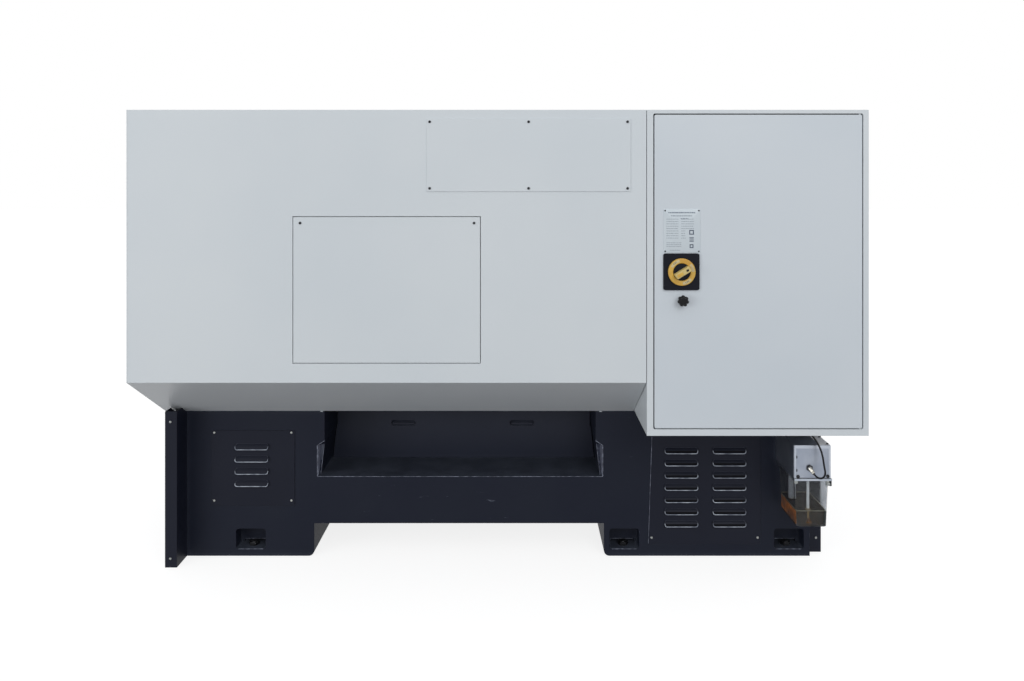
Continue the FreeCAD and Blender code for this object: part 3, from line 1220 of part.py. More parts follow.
def carriage():
    """Saddle on both ways, with the apron that holds the screw's nut and the dovetail on top."""
    half = SADDLE_LONG / 2
    x0 = SADDLE_X - half
    x1 = SADDLE_X + half
    z0 = BED_TOP_Z + SLIDE_GAP
    z1 = z0 + SADDLE_THICK
    y1 = BED_Y1 + SADDLE_OVER
    apron_y1 = BED_Y0 - SLIDE_GAP
    apron_y0 = apron_y1 - APRON_THICK
    saddle = slab(x0, x1, apron_y0, y1, z0, z1)
    apron = slab(x0 + 30, x1 - 30, apron_y0, apron_y1, APRON_Z0, z0 + 1)
    keep = slab(x0 + 30, x1 - 30, BED_Y1 + SLIDE_GAP, y1, BED_TOP_Z - 30, z0 + 1)
    relief = slab(x0 - 1, x1 + 1, BED_Y0 + RAIL_WIDE, BED_Y1 - RAIL_WIDE, z0 - 1, z0 + 20)
    arms = [slab(x, x + 46, 30, y1 - 60, z0 - 1, z1 + 1) for x in (x0 - 1, x1 - 45)]
    nut = rod(ZSCREW_R + FREE_GAP, (x0, SCREW_Y, SCREW_Z), (x1, SCREW_Y, SCREW_Z))
    dove = dovetail(0, z1 - 1, apron_y0, y1)
    body = without(joined([saddle, apron, keep]), [relief, vee_groove(x0 - 1, x1 + 1), nut] + arms)
    return joined([body, dove])


def dovetail(grow, z0, y0, y1):
    """A dovetail bar along Y, wider at its top, grown by a running gap."""
    half_top = DOVE_WIDE / 2 + grow
    half_foot = half_top - DOVE_LEAN
    z1 = saddle_top() + DOVE_HIGH + grow
    points = [(SADDLE_X - half_foot, y0, z0), (SADDLE_X + half_foot, y0, z0)]
    points += [(SADDLE_X + half_top, y0, z1), (SADDLE_X - half_top, y0, z1)]
    return prism(points, (0, y1 - y0, 0))


def saddle_top():
    """Height of the saddle's upper face."""
    return BED_TOP_Z + SLIDE_GAP + SADDLE_THICK


def cross_slide():
    """Cross slide on the saddle's dovetail, with three tee slots across its top."""
    z0 = saddle_top() + SLIDE_GAP
    z1 = z0 + CROSS_THICK
    y0 = CROSS_Y - CROSS_LONG / 2
    y1 = CROSS_Y + CROSS_LONG / 2
    half = CROSS_WIDE / 2
    block = slab(SADDLE_X - half, SADDLE_X + half, y0, y1, z0, z1)
    groove = dovetail(2 * SLIDE_GAP, z0 - 3, y0 - 1, y1 + 1)
    slots = [slab(SADDLE_X - half - 1, SADDLE_X + half + 1, y, y + 14, z1 - 12, z1 + 1)
             for y in (y1 - 60, y1 - 25)]
    return without(block, [groove] + slots)


def post_seat():
    """Centre of the tool post and the height it stands on."""
    return SADDLE_X, CROSS_Y - 10, saddle_top() + 2 * SLIDE_GAP + CROSS_THICK


def toolpost():
    """Square four-way tool post with its clamping bolts, lever and one tool."""
    x, y, z0 = post_seat()
    half = POST_SIDE / 2
    tool_z1 = AXIS_Z
    tool_z0 = tool_z1 - TOOL_SIDE
    block = slab(x - half, x + half, y - half, y + half, z0, z0 + POST_HIGH)
    cuts = []
    slot_z1 = tool_z1 + 3
    for side in (-half, half):
        low = side - POST_SLOT
        high = side + POST_SLOT
        cuts.append(slab(x - half - 1, x + half + 1, y + low, y + high, tool_z0, slot_z1))
        cuts.append(slab(x + low, x + high, y - half - 1, y + half + 1, tool_z0, slot_z1))
    post = without(block, cuts)
    bolts = []
    top = z0 + POST_HIGH
    for bolt_x in (x - POST_BOLT_OFF, x + POST_BOLT_OFF):
        for bolt_y in (y - POST_BOLT_PITCH, y, y + POST_BOLT_PITCH):
            bolts.append(rod(POST_BOLT_R, (bolt_x, bolt_y, top - 1), (bolt_x, bolt_y, top + POST_HUB_HIGH - 8)))
    hub = rod(POST_HUB_R, (x, y, top - 1), (x, y, top + POST_HUB_HIGH))
    lever_z = top + POST_HUB_HIGH - 8
    lever = rod(8, (x, y, lever_z), (x + POST_LEVER, y - POST_LEVER, lever_z + POST_LEVER / 2))
    tool_x = x + half - TOOL_SIDE - 1
    tool = slab(tool_x, tool_x + TOOL_SIDE, y - half + 6, y + half + TOOL_OUT, tool_z0, tool_z1)
    return [joined([post, hub, lever] + bolts), tool]


def x_servo():
    """Servo motor of the cross feed on the front of the apron."""
    apron_y0 = BED_Y0 - SLIDE_GAP - APRON_THICK
    z1 = saddle_top()
    z0 = z1 - CROSS_SERVO_HIGH
    half = CROSS_SERVO_WIDE / 2
    flange_y = apron_y0 - CROSS_SERVO_FLANGE
    body = slab(SADDLE_X - half, SADDLE_X + half, apron_y0 - CROSS_SERVO_LONG, flange_y, z0, z1)
    wide = half + 10
    flange = slab(SADDLE_X - wide, SADDLE_X + wide, flange_y, apron_y0, z0 + 2, z1)
    return joined([rounded(body, 10, (0, 1, 0)), flange])


def z_screw():
    """Feed screw along the bed's front, turned down at both ends."""
    long = ZSCREW_X1 - ZSCREW_X0
    r = ZSCREW_END_R
    step = long - ZSCREW_END - 15
    points = [(0, 0), (0, r), (ZSCREW_END, r), (ZSCREW_END, ZSCREW_R), (step, ZSCREW_R)]
    points += [(step, r), (long, r), (long, 0)]
    return turned(points, (ZSCREW_X0, SCREW_Y, SCREW_Z), (1, 0, 0))


def z_drive():
    """The feed screw's two bearing blocks on the bed and its servo motor."""
    group = []
    z0 = SCREW_Z - BLOCK_LOW
    z1 = SCREW_Z + BLOCK_HIGH
    servo_x = ZSCREW_X1 - 10
    for x0, x1 in ((ZSCREW_X0 + 4, ZSCREW_X0 + ZSCREW_END - 5), (servo_x - ZSCREW_END - 1, servo_x)):
        block = slab(x0, x1, SCREW_Y - BLOCK_WIDE, BED_Y0, z0, z1)
        foot = slab(x0, x1, BED_Y0 - 1, BED_Y0 + BLOCK_FOOT, z0, z1)
        bore = rod(ZSCREW_END_R + RUN_GAP, (x0 - 1, SCREW_Y, SCREW_Z), (x1 + 1, SCREW_Y, SCREW_Z))
        group.append(joined([block, foot]).cut(bore))
    half = SERVO_SIDE / 2
    y1 = BED_Y0 - 3
    servo = slab(servo_x, servo_x + SERVO_LONG, y1 - SERVO_SIDE + 30, y1, SCREW_Z - half, SCREW_Z + half)
    servo = rounded(servo, 12, (1, 0, 0))
    hole = rod(ZSCREW_END_R + FREE_GAP, (servo_x - 1, SCREW_Y, SCREW_Z), (ZSCREW_X1 + 1, SCREW_Y, SCREW_Z))
    group.append(servo.cut(hole))
    return group


def tailstock():
    """Tailstock body: foot on both ways, waisted column and the round quill housing."""
    x0 = TAIL_X0
    x1 = TAIL_X0 + TAIL_LONG
    half = TAIL_WIDE / 2
    z0 = BED_TOP_Z + SLIDE_GAP
    foot = slab(x0, x1, BED_Y0, BED_Y1, z0, z0 + TAIL_FOOT)
    waist = TAIL_ROUND * 0.8
    low_z = z0 + TAIL_FOOT - 1
    end_x = x0 + TAIL_INSET
    points = [(end_x, AXIS_Y - half, low_z), (end_x, AXIS_Y + half, low_z)]
    points += [(end_x, AXIS_Y + waist, AXIS_Z), (end_x, AXIS_Y - waist, AXIS_Z)]
    column = prism(points, (TAIL_LONG - 2 * TAIL_INSET, 0, 0))
    barrel = rod(TAIL_ROUND, (x0, AXIS_Y, AXIS_Z), (x1, AXIS_Y, AXIS_Z))
    bore = rod(QUILL_R + RUN_GAP, (x0 - 1, AXIS_Y, AXIS_Z), (x1 - TAIL_INSET, AXIS_Y, AXIS_Z))
    shaft = rod(WHEEL_SHAFT_R + RUN_GAP, (x1 - TAIL_INSET - 10, AXIS_Y, AXIS_Z), (x1 + 1, AXIS_Y, AXIS_Z))
    return without(joined([foot, column, barrel]), [vee_groove(x0 - 1, x1 + 1), bore, shaft])


def quill():
    """Hollow quill, its nose standing a little out of the barrel."""
    x0 = TAIL_X0 - QUILL_OUT
    rear = QUILL_LONG - QUILL_SOCKET
    nut_r = WHEEL_SHAFT_R + 2
    points = [(0, 0), (0, QUILL_R - 3), (3, QUILL_R), (rear, QUILL_R), (rear, nut_r)]
    points += [(QUILL_SOCKET + 20, nut_r), (QUILL_SOCKET + 20, 0)]
    body = turned(points, (x0, AXIS_Y, AXIS_Z), (1, 0, 0))
    return body.cut(rod(SHANK_R, (x0 - 1, AXIS_Y, AXIS_Z), (x0 + QUILL_SOCKET, AXIS_Y, AXIS_Z)))


def live_centre():
    """Turning centre: round body with a 60 degree point and a shank in the quill."""
    x0 = TAIL_X0 - QUILL_OUT
    point = CENTRE_R * 0.6
    shank = SHANK_R - RUN_GAP
    shoulder = CENTRE_BODY + 6
    points = [(-SHANK_LONG, 0), (-SHANK_LONG, shank), (SLIDE_GAP, shank), (SLIDE_GAP, CENTRE_R)]
    points += [(CENTRE_BODY, CENTRE_R), (shoulder, point), (shoulder + point / math.tan(math.pi / 6), 0)]
    return turned(points, (x0, AXIS_Y, AXIS_Z), (-1, 0, 0))


def tailstock_handwheel():
    """Handwheel with three spokes, a rim, a crank grip and the quill's screw shaft."""
    x = TAIL_X0 + TAIL_LONG + SLIDE_GAP
    inner = WHEEL_R - WHEEL_RIM
    points = [(WHEEL_OFF, inner), (WHEEL_OFF, WHEEL_R), (WHEEL_HUB, WHEEL_R), (WHEEL_HUB, inner)]
    rim = turned(points, (x, AXIS_Y, AXIS_Z), (1, 0, 0))
    hub = rod(WHEEL_HUB_R, (x, AXIS_Y, AXIS_Z), (x + WHEEL_HUB, AXIS_Y, AXIS_Z))
    shaft = rod(WHEEL_SHAFT_R, (x - WHEEL_SHAFT, AXIS_Y, AXIS_Z), (x + 1, AXIS_Y, AXIS_Z))
    spokes = []
    half = WHEEL_GRIP_R
    for i in range(3):
        spoke = slab(x + WHEEL_OFF + 4, x + WHEEL_HUB - 5, AXIS_Y - half, AXIS_Y + half,
                     AXIS_Z + WHEEL_HUB_R - 6, AXIS_Z + inner + 6)
        spoke.rotate(Vector(x, AXIS_Y, AXIS_Z), Vector(1, 0, 0), 120 * i)
        spokes.append(spoke)
    grip_z = AXIS_Z + WHEEL_R - WHEEL_RIM / 2
    grip = rod(WHEEL_GRIP_R, (x + WHEEL_HUB - 2, AXIS_Y, grip_z), (x + WHEEL_HUB + WHEEL_GRIP, AXIS_Y, grip_z))
    return joined([rim, hub, shaft, grip] + spokes)


# ---------------------------------------------------------------- coolant tank
def coolant_tank():
    """Sheet tank with a tall rear panel that has two finger slots, and a shelf for the pump."""
    z0 = BAY_LEDGE_Z + SLIDE_GAP
    y1 = BASE_REAR_Y - TANK_BACK
    y0 = y1 - TANK_DEEP
    w = TANK_WALL
    panel = prism(bay_outline(TANK_CLEAR, y1, z0, TANK_Z1, BAY_STEP_IN, BAY_FLARE_IN), (0, -TANK_PANEL, 0))
    x0 = BAY_X0 + TANK_CLEAR
    x1 = BAY_X1 - TANK_CLEAR
    outer = slab(x0, x1, y0, y1 - TANK_PANEL + 1, z0, TANK_RIM_Z)
    inner = slab(x0 + w, x1 - w, y0 + w, y1 - TANK_PANEL, z0 + w, TANK_RIM_Z + 1)
    shelf = slab(x0, PUMP_X + PUMP_R + 30, y0, y1 - TANK_PANEL + 1, TANK_RIM_Z - w, TANK_RIM_Z)
    tank = joined([panel, outer.cut(inner), shelf])
    cuts = [rod(PUMP_PIPE_R + 2, (PUMP_X, AXIS_Y, TANK_RIM_Z - 10), (PUMP_X, AXIS_Y, TANK_RIM_Z + 10))]
    wide, high = GRIP_SLOT
    for x in GRIP_SLOT_X:
        slot = slab(x - wide / 2, x + wide / 2, y1 - TANK_PANEL - 1, y1 + 1, GRIP_SLOT_Z - high / 2,
                    GRIP_SLOT_Z + high / 2)
        cuts.append(rounded(slot, high / 2 - 2, (0, 1, 0)))
    return without(tank, cuts)


def coolant_pump():
    """Immersion pump: flange and motor on the shelf, suction pipe below."""
    z = TANK_RIM_Z
    r = PUMP_R - 8
    points = [(-PUMP_PIPE, 0), (-PUMP_PIPE, PUMP_PIPE_R), (0, PUMP_PIPE_R), (0, PUMP_R), (8, PUMP_R), (8, r)]
    points += [(PUMP_HIGH - 10, r), (PUMP_HIGH, r - 10), (PUMP_HIGH, 0)]
    return turned(points, (PUMP_X, AXIS_Y, z), (0, 0, 1))


# ---------------------------------------------------------------- lubricator
def lube_housing():
    """Cast lubricator body bolted to the base's rear face, with its lower flange and corner lugs."""
    y0 = BASE_REAR_Y
    y1 = BASE_REAR_Y + LUBE_DEEP
    block = slab(LUBE_X0, LUBE_X1, y0, y1, LUBE_Z0, LUBE_Z1)
    block = rounded(block, 4, (0, 1, 0))
    flange = slab(LUBE_X0 - 4, LUBE_X1, y0 + 6, y1 + 3, LUBE_Z0, LUBE_Z0 + LUBE_FLANGE)
    screws = []
    for x in (LUBE_X0 + 12, LUBE_X1 - 12):
        for z in (LUBE_Z0 + 18, LUBE_Z1 - 14):
            screws.append(rod(5, (x, y1 - 1, z), (x, y1 + 4, z)))
    return joined([block, flange] + screws)


def oil_ring(inset, z, scale):
    """A rounded rectangle in plan, drawn in towards the tank's foot."""
    draw = OIL_TAPER * scale
    x0 = LUBE_X0 + 4 + draw + inset
    x1 = LUBE_X1 - 4 - draw - inset
    y0 = BASE_REAR_Y + 14 + draw + inset
    y1 = BASE_REAR_Y + LUBE_DEEP - 4 - draw * 0.4 - inset
    r = 14 - inset
    k = r * (1 - math.sqrt(0.5))
    V = Vector
    edges = [
        Part.LineSegment(V(x0 + r, y0, z), V(x1 - r, y0, z)),
        Part.Arc(V(x1 - r, y0, z), V(x1 - k, y0 + k, z), V(x1, y0 + r, z)),
        Part.LineSegment(V(x1, y0 + r, z), V(x1, y1 - r, z)),
        Part.Arc(V(x1, y1 - r, z), V(x1 - k, y1 - k, z), V(x1 - r, y1, z)),
        Part.LineSegment(V(x1 - r, y1, z), V(x0 + r, y1, z)),
        Part.Arc(V(x0 + r, y1, z), V(x0 + k, y1 - k, z), V(x0, y1 - r, z)),
        Part.LineSegment(V(x0, y1 - r, z), V(x0, y0 + r, z)),
        Part.Arc(V(x0, y0 + r, z), V(x0 + k, y0 + k, z), V(x0 + r, y0, z)),
    ]
    return Part.Wire([edge.toShape() for edge in edges])


def lube_tank():
    """Clear oil tank under the lubricator, drawn in towards its foot, open at the top."""
    outer = Part.makeLoft([oil_ring(0, OIL_Z0, 1), oil_ring(0, LUBE_Z0, 0)], True, True)
    inner_rings = [oil_ring(OIL_WALL, OIL_Z0 + OIL_WALL, 1), oil_ring(OIL_WALL, LUBE_Z0, 0)]
    inner = Part.makeLoft(inner_rings, True, True)
    return outer.cut(inner)


def lube_tubes():
    """Suction tube with its strainer, and the return tube, hanging from the housing."""
    y = BASE_REAR_Y + LUBE_DEEP - 38
    x = LUBE_X0 + 68
    suction = rod(SUCTION_R, (x, y, OIL_Z0 + 34), (x, y, LUBE_Z0))
    collar = rod(3 * SUCTION_R, (x, y, OIL_LEVEL - 7), (x, y, OIL_LEVEL - 4))
    points = [(0, 0), (0, 13), (6, 13), (8, 7), (26, 7), (26, 0)]
    strainer = turned(points, (x, y, OIL_Z0 + 8), (0, 0, 1))
    back_x = LUBE_X1 - 37
    back_y = BASE_REAR_Y + 70
    back = rod(RETURN_R, (back_x, back_y, OIL_LEVEL - 6), (back_x, back_y, LUBE_Z0))
    return [joined([suction, collar, strainer]), back]


def lube_connector():
    """Angled cable connector on the housing's face."""
    face = BASE_REAR_Y + LUBE_DEEP
    elbow = Vector(CONNECTOR_X, face + 6, CONNECTOR_Z)
    tip = Vector(*CABLE_ROUTE[0])
    boss = Part.makeCylinder(CONNECTOR_R + 3, 4, Vector(CONNECTOR_X, face, CONNECTOR_Z), Vector(0, 1, 0))
    neck = Part.makeCylinder(CONNECTOR_R, 6, Vector(CONNECTOR_X, face, CONNECTOR_Z), Vector(0, 1, 0))
    barrel = Part.makeCylinder(CONNECTOR_R - 1, (tip - elbow).Length, elbow, tip - elbow)
    behind = slab(LUBE_X0, LUBE_X1, face - LUBE_DEEP, face, LUBE_Z0, LUBE_Z1)
    return joined([boss, neck, barrel.cut(behind)])


def lube_cable():
    """The lubricator's free cable: straight runs joined by the largest arcs that fit."""
    points = [Vector(*p) for p in CABLE_ROUTE]
    edges = []
    start = points[0]
    length = 0.0
    for before, here, after in zip(points, points[1:], points[2:]):
        way_in = (here - before).normalize()
        way_out = (after - here).normalize()
        turn = way_in.getAngle(way_out)
        shorter = min((here - before).Length, (after - here).Length)
        reach = 0.45 * shorter
        radius = reach / math.tan(turn / 2)
        print("cable arc radius", round(radius, 1), "turn", round(math.degrees(turn), 1))
        first = here - way_in * reach
        last = here + way_out * reach
        bisector = (way_out - way_in).normalize()
        middle = here + bisector * (radius / math.cos(turn / 2) - radius)
        edges.append(Part.LineSegment(start, first).toShape())
        edges.append(Part.Arc(first, middle, last).toShape())
        length += (first - start).Length + radius * turn
        start = last
    edges.append(Part.LineSegment(start, points[-1]).toShape())
    length += (points[-1] - start).Length
    section = Part.Wire(Part.makeCircle(CABLE_R, points[0], points[1] - points[0]))
    tube = Part.Wire(edges).makePipeShell([section], True, True)
    ratio = tube.Volume / (math.pi * CABLE_R ** 2 * length)
    print("cable length", round(length, 1), "volume against section times length", round(ratio, 4))
    return tube


# ---------------------------------------------------------------- fasteners
def screw_head(x, face, z):
    """One head with ten flat sides, its back on the sheet."""
    points = []
    for i in range(10):
        turn = 2 * math.pi * i / 10
        points.append((x + SCREW_R * math.cos(turn), face, z + SCREW_R * math.sin(turn)))
    return prism(points, (0, SCREW_HEAD, 0))


def cover_screws():
    """Low screw heads on the covers and panels."""
    heads = []
    dark = BASE_REAR_Y + DARK_SHEET
    motor_z = MOTOR_COVER_Z0 + 26
    motor = [(MOTOR_COVER_X0 + 12, motor_z), (MOTOR_COVER_X1 - 4, motor_z)]
    vent_z = (VENT_COVER_Z0 + 20, VENT_COVER_Z1 - 8)
    vent = [(x, z) for x in (VENT_COVER_X0 + 12, VENT_COVER_X1 - 12) for z in vent_z]
    tail_x = BASE_TAIL_X + TAIL_COVER_WIDE / 2 + 2
    x0, x1, z0, z1 = LOWER_PANEL
    ux0, ux1, uz0, uz1 = UPPER_PANEL
    middle = (ux0 + ux1) / 2
    upper = [(x, z) for x in (ux0 + 11, middle, ux1 - 11) for z in (uz0 + 11, uz1 - 11)]
    groups = [
        (dark, motor + vent),
        (TAIL_COVER_REAR_Y, [(tail_x, 34.0), (tail_x, 550.0)]),
        (HEAD_COVER_REAR_Y, [(BASE_HEAD_X - HEAD_COVER_WIDE / 2 - 8, 56.0)]),
        (REAR_Y, [(x0 + 21, z1 - 21), (x1 - 24, z1 - 21)]),
        (REAR_Y + UPPER_PANEL_THICK, upper),
    ]
    for face, places in groups:
        for x, z in places:
            heads.append(screw_head(x, face, z))
    return heads


PIECES = {
    "base_casting": base_casting,
    "levelling_bolts": levelling_bolts,
    "motor_cover": motor_cover,
    "vent_cover": vent_cover,
    "tailstock_end_cover": tailstock_end_cover,
    "headstock_end_cover": headstock_end_cover,
    "front_lower_cover": front_lower_cover,
    "chip_tray": chip_tray,
    "cover_screws": cover_screws,
    "rear_cover": rear_cover,
    "lower_access_panel": lower_access_panel,
    "upper_access_panel": upper_access_panel,
    "tailstock_side_panel": tailstock_side_panel,
    "headstock_side_panel": headstock_side_panel,
    "roof_panel": roof_panel,
    "front_frame": front_frame,
    "splash_guard": splash_guard,
    "cabinet_body": cabinet_body,
    "cabinet_door": cabinet_door,
    "switch_plate": switch_plate,
    "switch_ring": switch_ring,
    "switch_handle": switch_handle,
    "door_knob": door_knob,
    "control_gear": control_gear,
    "front_door": front_door,
    "door_window": door_window,
    "front_door_handle": front_door_handle,
    "pendant_column": pendant_column,
    "pendant_box": pendant_box,
    "estop": estop,
    "mpg_dial": mpg_dial,
    "bed": bed,
    "headstock_casting": headstock_casting,
    "spindle_bearings": spindle_bearings,
    "spindle": spindle,
    "spindle_pulley": spindle_pulley,
    "drive_belt": drive_belt,
    "main_motor": main_motor,
    "motor_rotor": motor_rotor,
    "chuck_body": chuck_body,
    "jaw_1": lambda: jaw(1),
    "jaw_2": lambda: jaw(2),
    "jaw_3": lambda: jaw(3),
    "carriage": carriage,
    "cross_slide": cross_slide,
    "toolpost": toolpost,
    "x_servo": x_servo,
    "z_screw": z_screw,
    "z_drive": z_drive,
    "tailstock": tailstock,
    "quill": quill,
    "live_centre": live_centre,
    "tailstock_handwheel": tailstock_handwheel,
    "coolant_tank": coolant_tank,
    "coolant_pump": coolant_pump,
    "lube_housing": lube_housing,
    "lube_tank": lube_tank,
    "lube_tubes": lube_tubes,
    "lube_connector": lube_connector,
    "lube_cable": lube_cable,
}

for piece_name, make in PIECES.items():
    save(piece_name, make())
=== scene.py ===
"""Flat-bed turning lathe seen from its rear: finishes, fittings, studio and camera round the fixed frame.

+X runs to the tailstock end, -Y is the operator's side, +Z is up. The pieces are sized in millimetres, as
the frame's drawing is, and mesh_piece turns them into metres. The studio and the cable are in metres.
"""

import logging
import math
from dataclasses import dataclass, field
from enum import Enum
from functools import lru_cache

import bmesh
import bpy
import numpy as np
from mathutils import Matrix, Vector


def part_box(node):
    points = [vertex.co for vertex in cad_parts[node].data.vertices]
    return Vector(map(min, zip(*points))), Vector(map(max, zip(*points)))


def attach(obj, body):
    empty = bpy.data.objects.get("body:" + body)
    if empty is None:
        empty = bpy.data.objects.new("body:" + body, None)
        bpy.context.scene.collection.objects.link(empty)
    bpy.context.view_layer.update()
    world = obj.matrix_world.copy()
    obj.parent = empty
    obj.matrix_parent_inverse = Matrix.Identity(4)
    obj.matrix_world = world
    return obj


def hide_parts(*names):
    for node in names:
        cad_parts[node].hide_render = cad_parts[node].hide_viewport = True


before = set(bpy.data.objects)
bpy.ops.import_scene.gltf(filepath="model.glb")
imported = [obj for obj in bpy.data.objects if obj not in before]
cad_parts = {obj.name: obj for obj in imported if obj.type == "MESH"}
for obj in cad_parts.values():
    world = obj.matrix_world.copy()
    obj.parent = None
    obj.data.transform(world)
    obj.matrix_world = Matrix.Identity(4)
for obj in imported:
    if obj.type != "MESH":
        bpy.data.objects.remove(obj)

logging.basicConfig(level=logging.INFO, format="%(message)s")
LOG = logging.getLogger("lathe")

MM = 0.001
MICRON = 0.000001
FULL_TURN = 2 * math.pi
QUARTER = math.pi / 2
Colour = tuple[float, float, float]
Pair = tuple[float, float]
Point = tuple[float, float, float]
BACK: Point = (0.0, 1.0, 0.0)
FRONT: Point = (0.0, -1.0, 0.0)
UP: Point = (0.0, 0.0, 1.0)


def srgb(code: int) -> Colour:
    """Turns a display colour into the linear values that shaders take.

    Args:
        code: The colour, written 0xRRGGBB.

    Returns:
        Red, green and blue, each from 0 to 1.
    """
    shares = np.array([code >> 16, code >> 8 & 255, code & 255]) / 255
    linear = np.where(shares <= 0.04045, shares / 12.92, ((shares + 0.055) / 1.055) ** 2.4)
    return tuple(float(x) for x in linear)


# ---------------------------------------------------------------- surfaces
@dataclass
class Patch:
    """One surface: its corner points and the quads between them.

    Args:
        points: The corners, one row each.
        quads: Four corner numbers for each face. Corners may coincide, as at a pole.
        finish: Which of the piece's finishes it takes.
    """

    points: np.ndarray
    quads: np.ndarray
    finish: int = 0


def grid_patch(points: np.ndarray, wrap_rows: bool, wrap_columns: bool, finish: int = 0) -> Patch:
    """Joins a grid of points into quads: face (i, j) runs from row i to i + 1 and column j to j + 1.

    Args:
        points: Rows by columns by 3.
        wrap_rows: The last row joins the first.
        wrap_columns: The last column joins the first.
        finish: Which of the piece's finishes it takes.

    Returns:
        The surface.
    """
    rows, columns = points.shape[:2]
    i = np.arange(rows if wrap_rows else rows - 1)
    j = np.arange(columns if wrap_columns else columns - 1)
    i, j = np.meshgrid(i, j, indexing="ij")
    below, beside = (i + 1) % rows, (j + 1) % columns
    corners = [i * columns + j, below * columns + j, below * columns + beside, i * columns + beside]
    return Patch(points.reshape(-1, 3), np.stack(corners, -1).reshape(-1, 4), finish)


def capped(rows: list[np.ndarray] | list[list[Point]], finish: int = 0) -> Patch:
    """Joins closed rows of points into a skin whose first and last rows close on their own middle.

    Args:
        rows: The rows, all with as many points.
        finish: Which of the piece's finishes it takes.

    Returns:
        The closed surface.
    """
    grid = np.array(rows, float)
    first, last = (np.broadcast_to(grid[k].mean(0), grid[:1].shape) for k in (0, -1))
    return grid_patch(np.concatenate([first, grid, last]), False, True, finish)


def axes_across(direction: Point) -> tuple[np.ndarray, np.ndarray, np.ndarray]:
    """Works out a frame round a direction.

    Args:
        direction: The direction, of any length.

    Returns:
        The unit vector along it and two more square to it.
    """
    along = np.array(direction, float)
    along /= np.linalg.norm(along)
    helper = np.array([0.0, 0.0, 1.0]) if abs(along[2]) < 0.9 else np.array([1.0, 0.0, 0.0])
    across = np.cross(helper, along)
    across /= np.linalg.norm(across)
    return along, across, np.cross(along, across)


def turned(
    profile: list[Pair],
    centre: Point,
    direction: Point = BACK,
    segments: int = 36,
    finish: int = 0,
    outline: np.ndarray | None = None,
    shaped: list[float] | None = None,
) -> Patch:
    """A profile carried round an axis.

    A profile point s along and r out, at angle t, lies at centre + s * axis + r * f(t) * (cos t, sin t),
    where f is 1 for a round row and blends to the outline for a shaped one.

    Args:
        profile: Pairs of distance along the axis and radius.
        centre: Where the axis starts.
        direction: The axis.
        segments: Points round the axis.
        finish: Which of the piece's finishes it takes.
        outline: One factor for each segment, such as a hexagon's or a star's.
        shaped: For each profile point, how far it follows the outline, from 0 to 1.

    Returns:
        The surface, closed where the profile ends on the axis.
    """
    along, across, up = axes_across(direction)
    table = np.array(profile, float)
    angle = np.linspace(0, FULL_TURN, segments, endpoint=False)
    ring = np.cos(angle)[:, None] * across + np.sin(angle)[:, None] * up
    factor = np.ones((len(table), segments))
    if outline is not None:
        factor = 1 + np.array(shaped, float)[:, None] * (outline[None, :] - 1)
    reach = table[:, 1][:, None] * factor
    points = np.array(centre) + table[:, 0][:, None, None] * along + reach[:, :, None] * ring[None]
    return grid_patch(points, False, True, finish)


def rod(foot: float, top: float, radius: float) -> list[Pair]:
    """The profile of a plain round bar between two heights."""
    return [(foot, 0.0), (foot, radius), (top, radius), (top, 0.0)]


def washer(foot: float, top: float, inner: float, outer: float) -> list[Pair]:
    """The profile of a flat ring between two heights and two radii."""
    return [(foot, inner), (foot, outer), (top, outer), (top, inner), (foot, inner)]


def rolled(foot: float, radius: float, rise: float, out: float, steps: int = 5) -> list[Pair]:
    """A rolled edge in a profile: (foot + rise * sin a, radius + out * cos a) through a quarter turn."""
    turn = np.linspace(0, QUARTER, steps)
    return [(foot + rise * math.sin(a), radius + out * math.cos(a)) for a in turn]


def polygon_factor(sides: int, segments: int) -> np.ndarray:
    """How far a regular polygon's edge lies from its centre, against its flats: 1 / cos(angle off a flat).

    Args:
        sides: How many sides it has.
        segments: How many angles round it.

    Returns:
        One factor for each angle.
    """
    angle = np.linspace(0, FULL_TURN, segments, endpoint=False)
    sector = FULL_TURN / sides
    return 1 / np.cos((angle + sector / 2) % sector - sector / 2)


def rounded_rectangle(half_wide: float, half_high: float, corner: float, steps: int = 5) -> np.ndarray:
    """Points round a rectangle whose corners are quarter circles, anticlockwise from its right side.

    Args:
        half_wide: Half of its width.
        half_high: Half of its height.
        corner: The corners' radius, at most the smaller half.
        steps: Points along each quarter circle.

    Returns:
        The points, one row each.
    """
    corner = min(corner, half_wide * 0.999, half_high * 0.999)
    turn = np.linspace(0, QUARTER, steps)
    signs = np.array([(1, 1), (-1, 1), (-1, -1), (1, -1)], float)
    centres = signs * np.array([half_wide - corner, half_high - corner])
    angles = turn[None, :] + np.arange(4)[:, None] * QUARTER
    arcs = np.stack([np.cos(angles), np.sin(angles)], -1) * corner
    return (centres[:, None, :] + arcs).reshape(-1, 2)


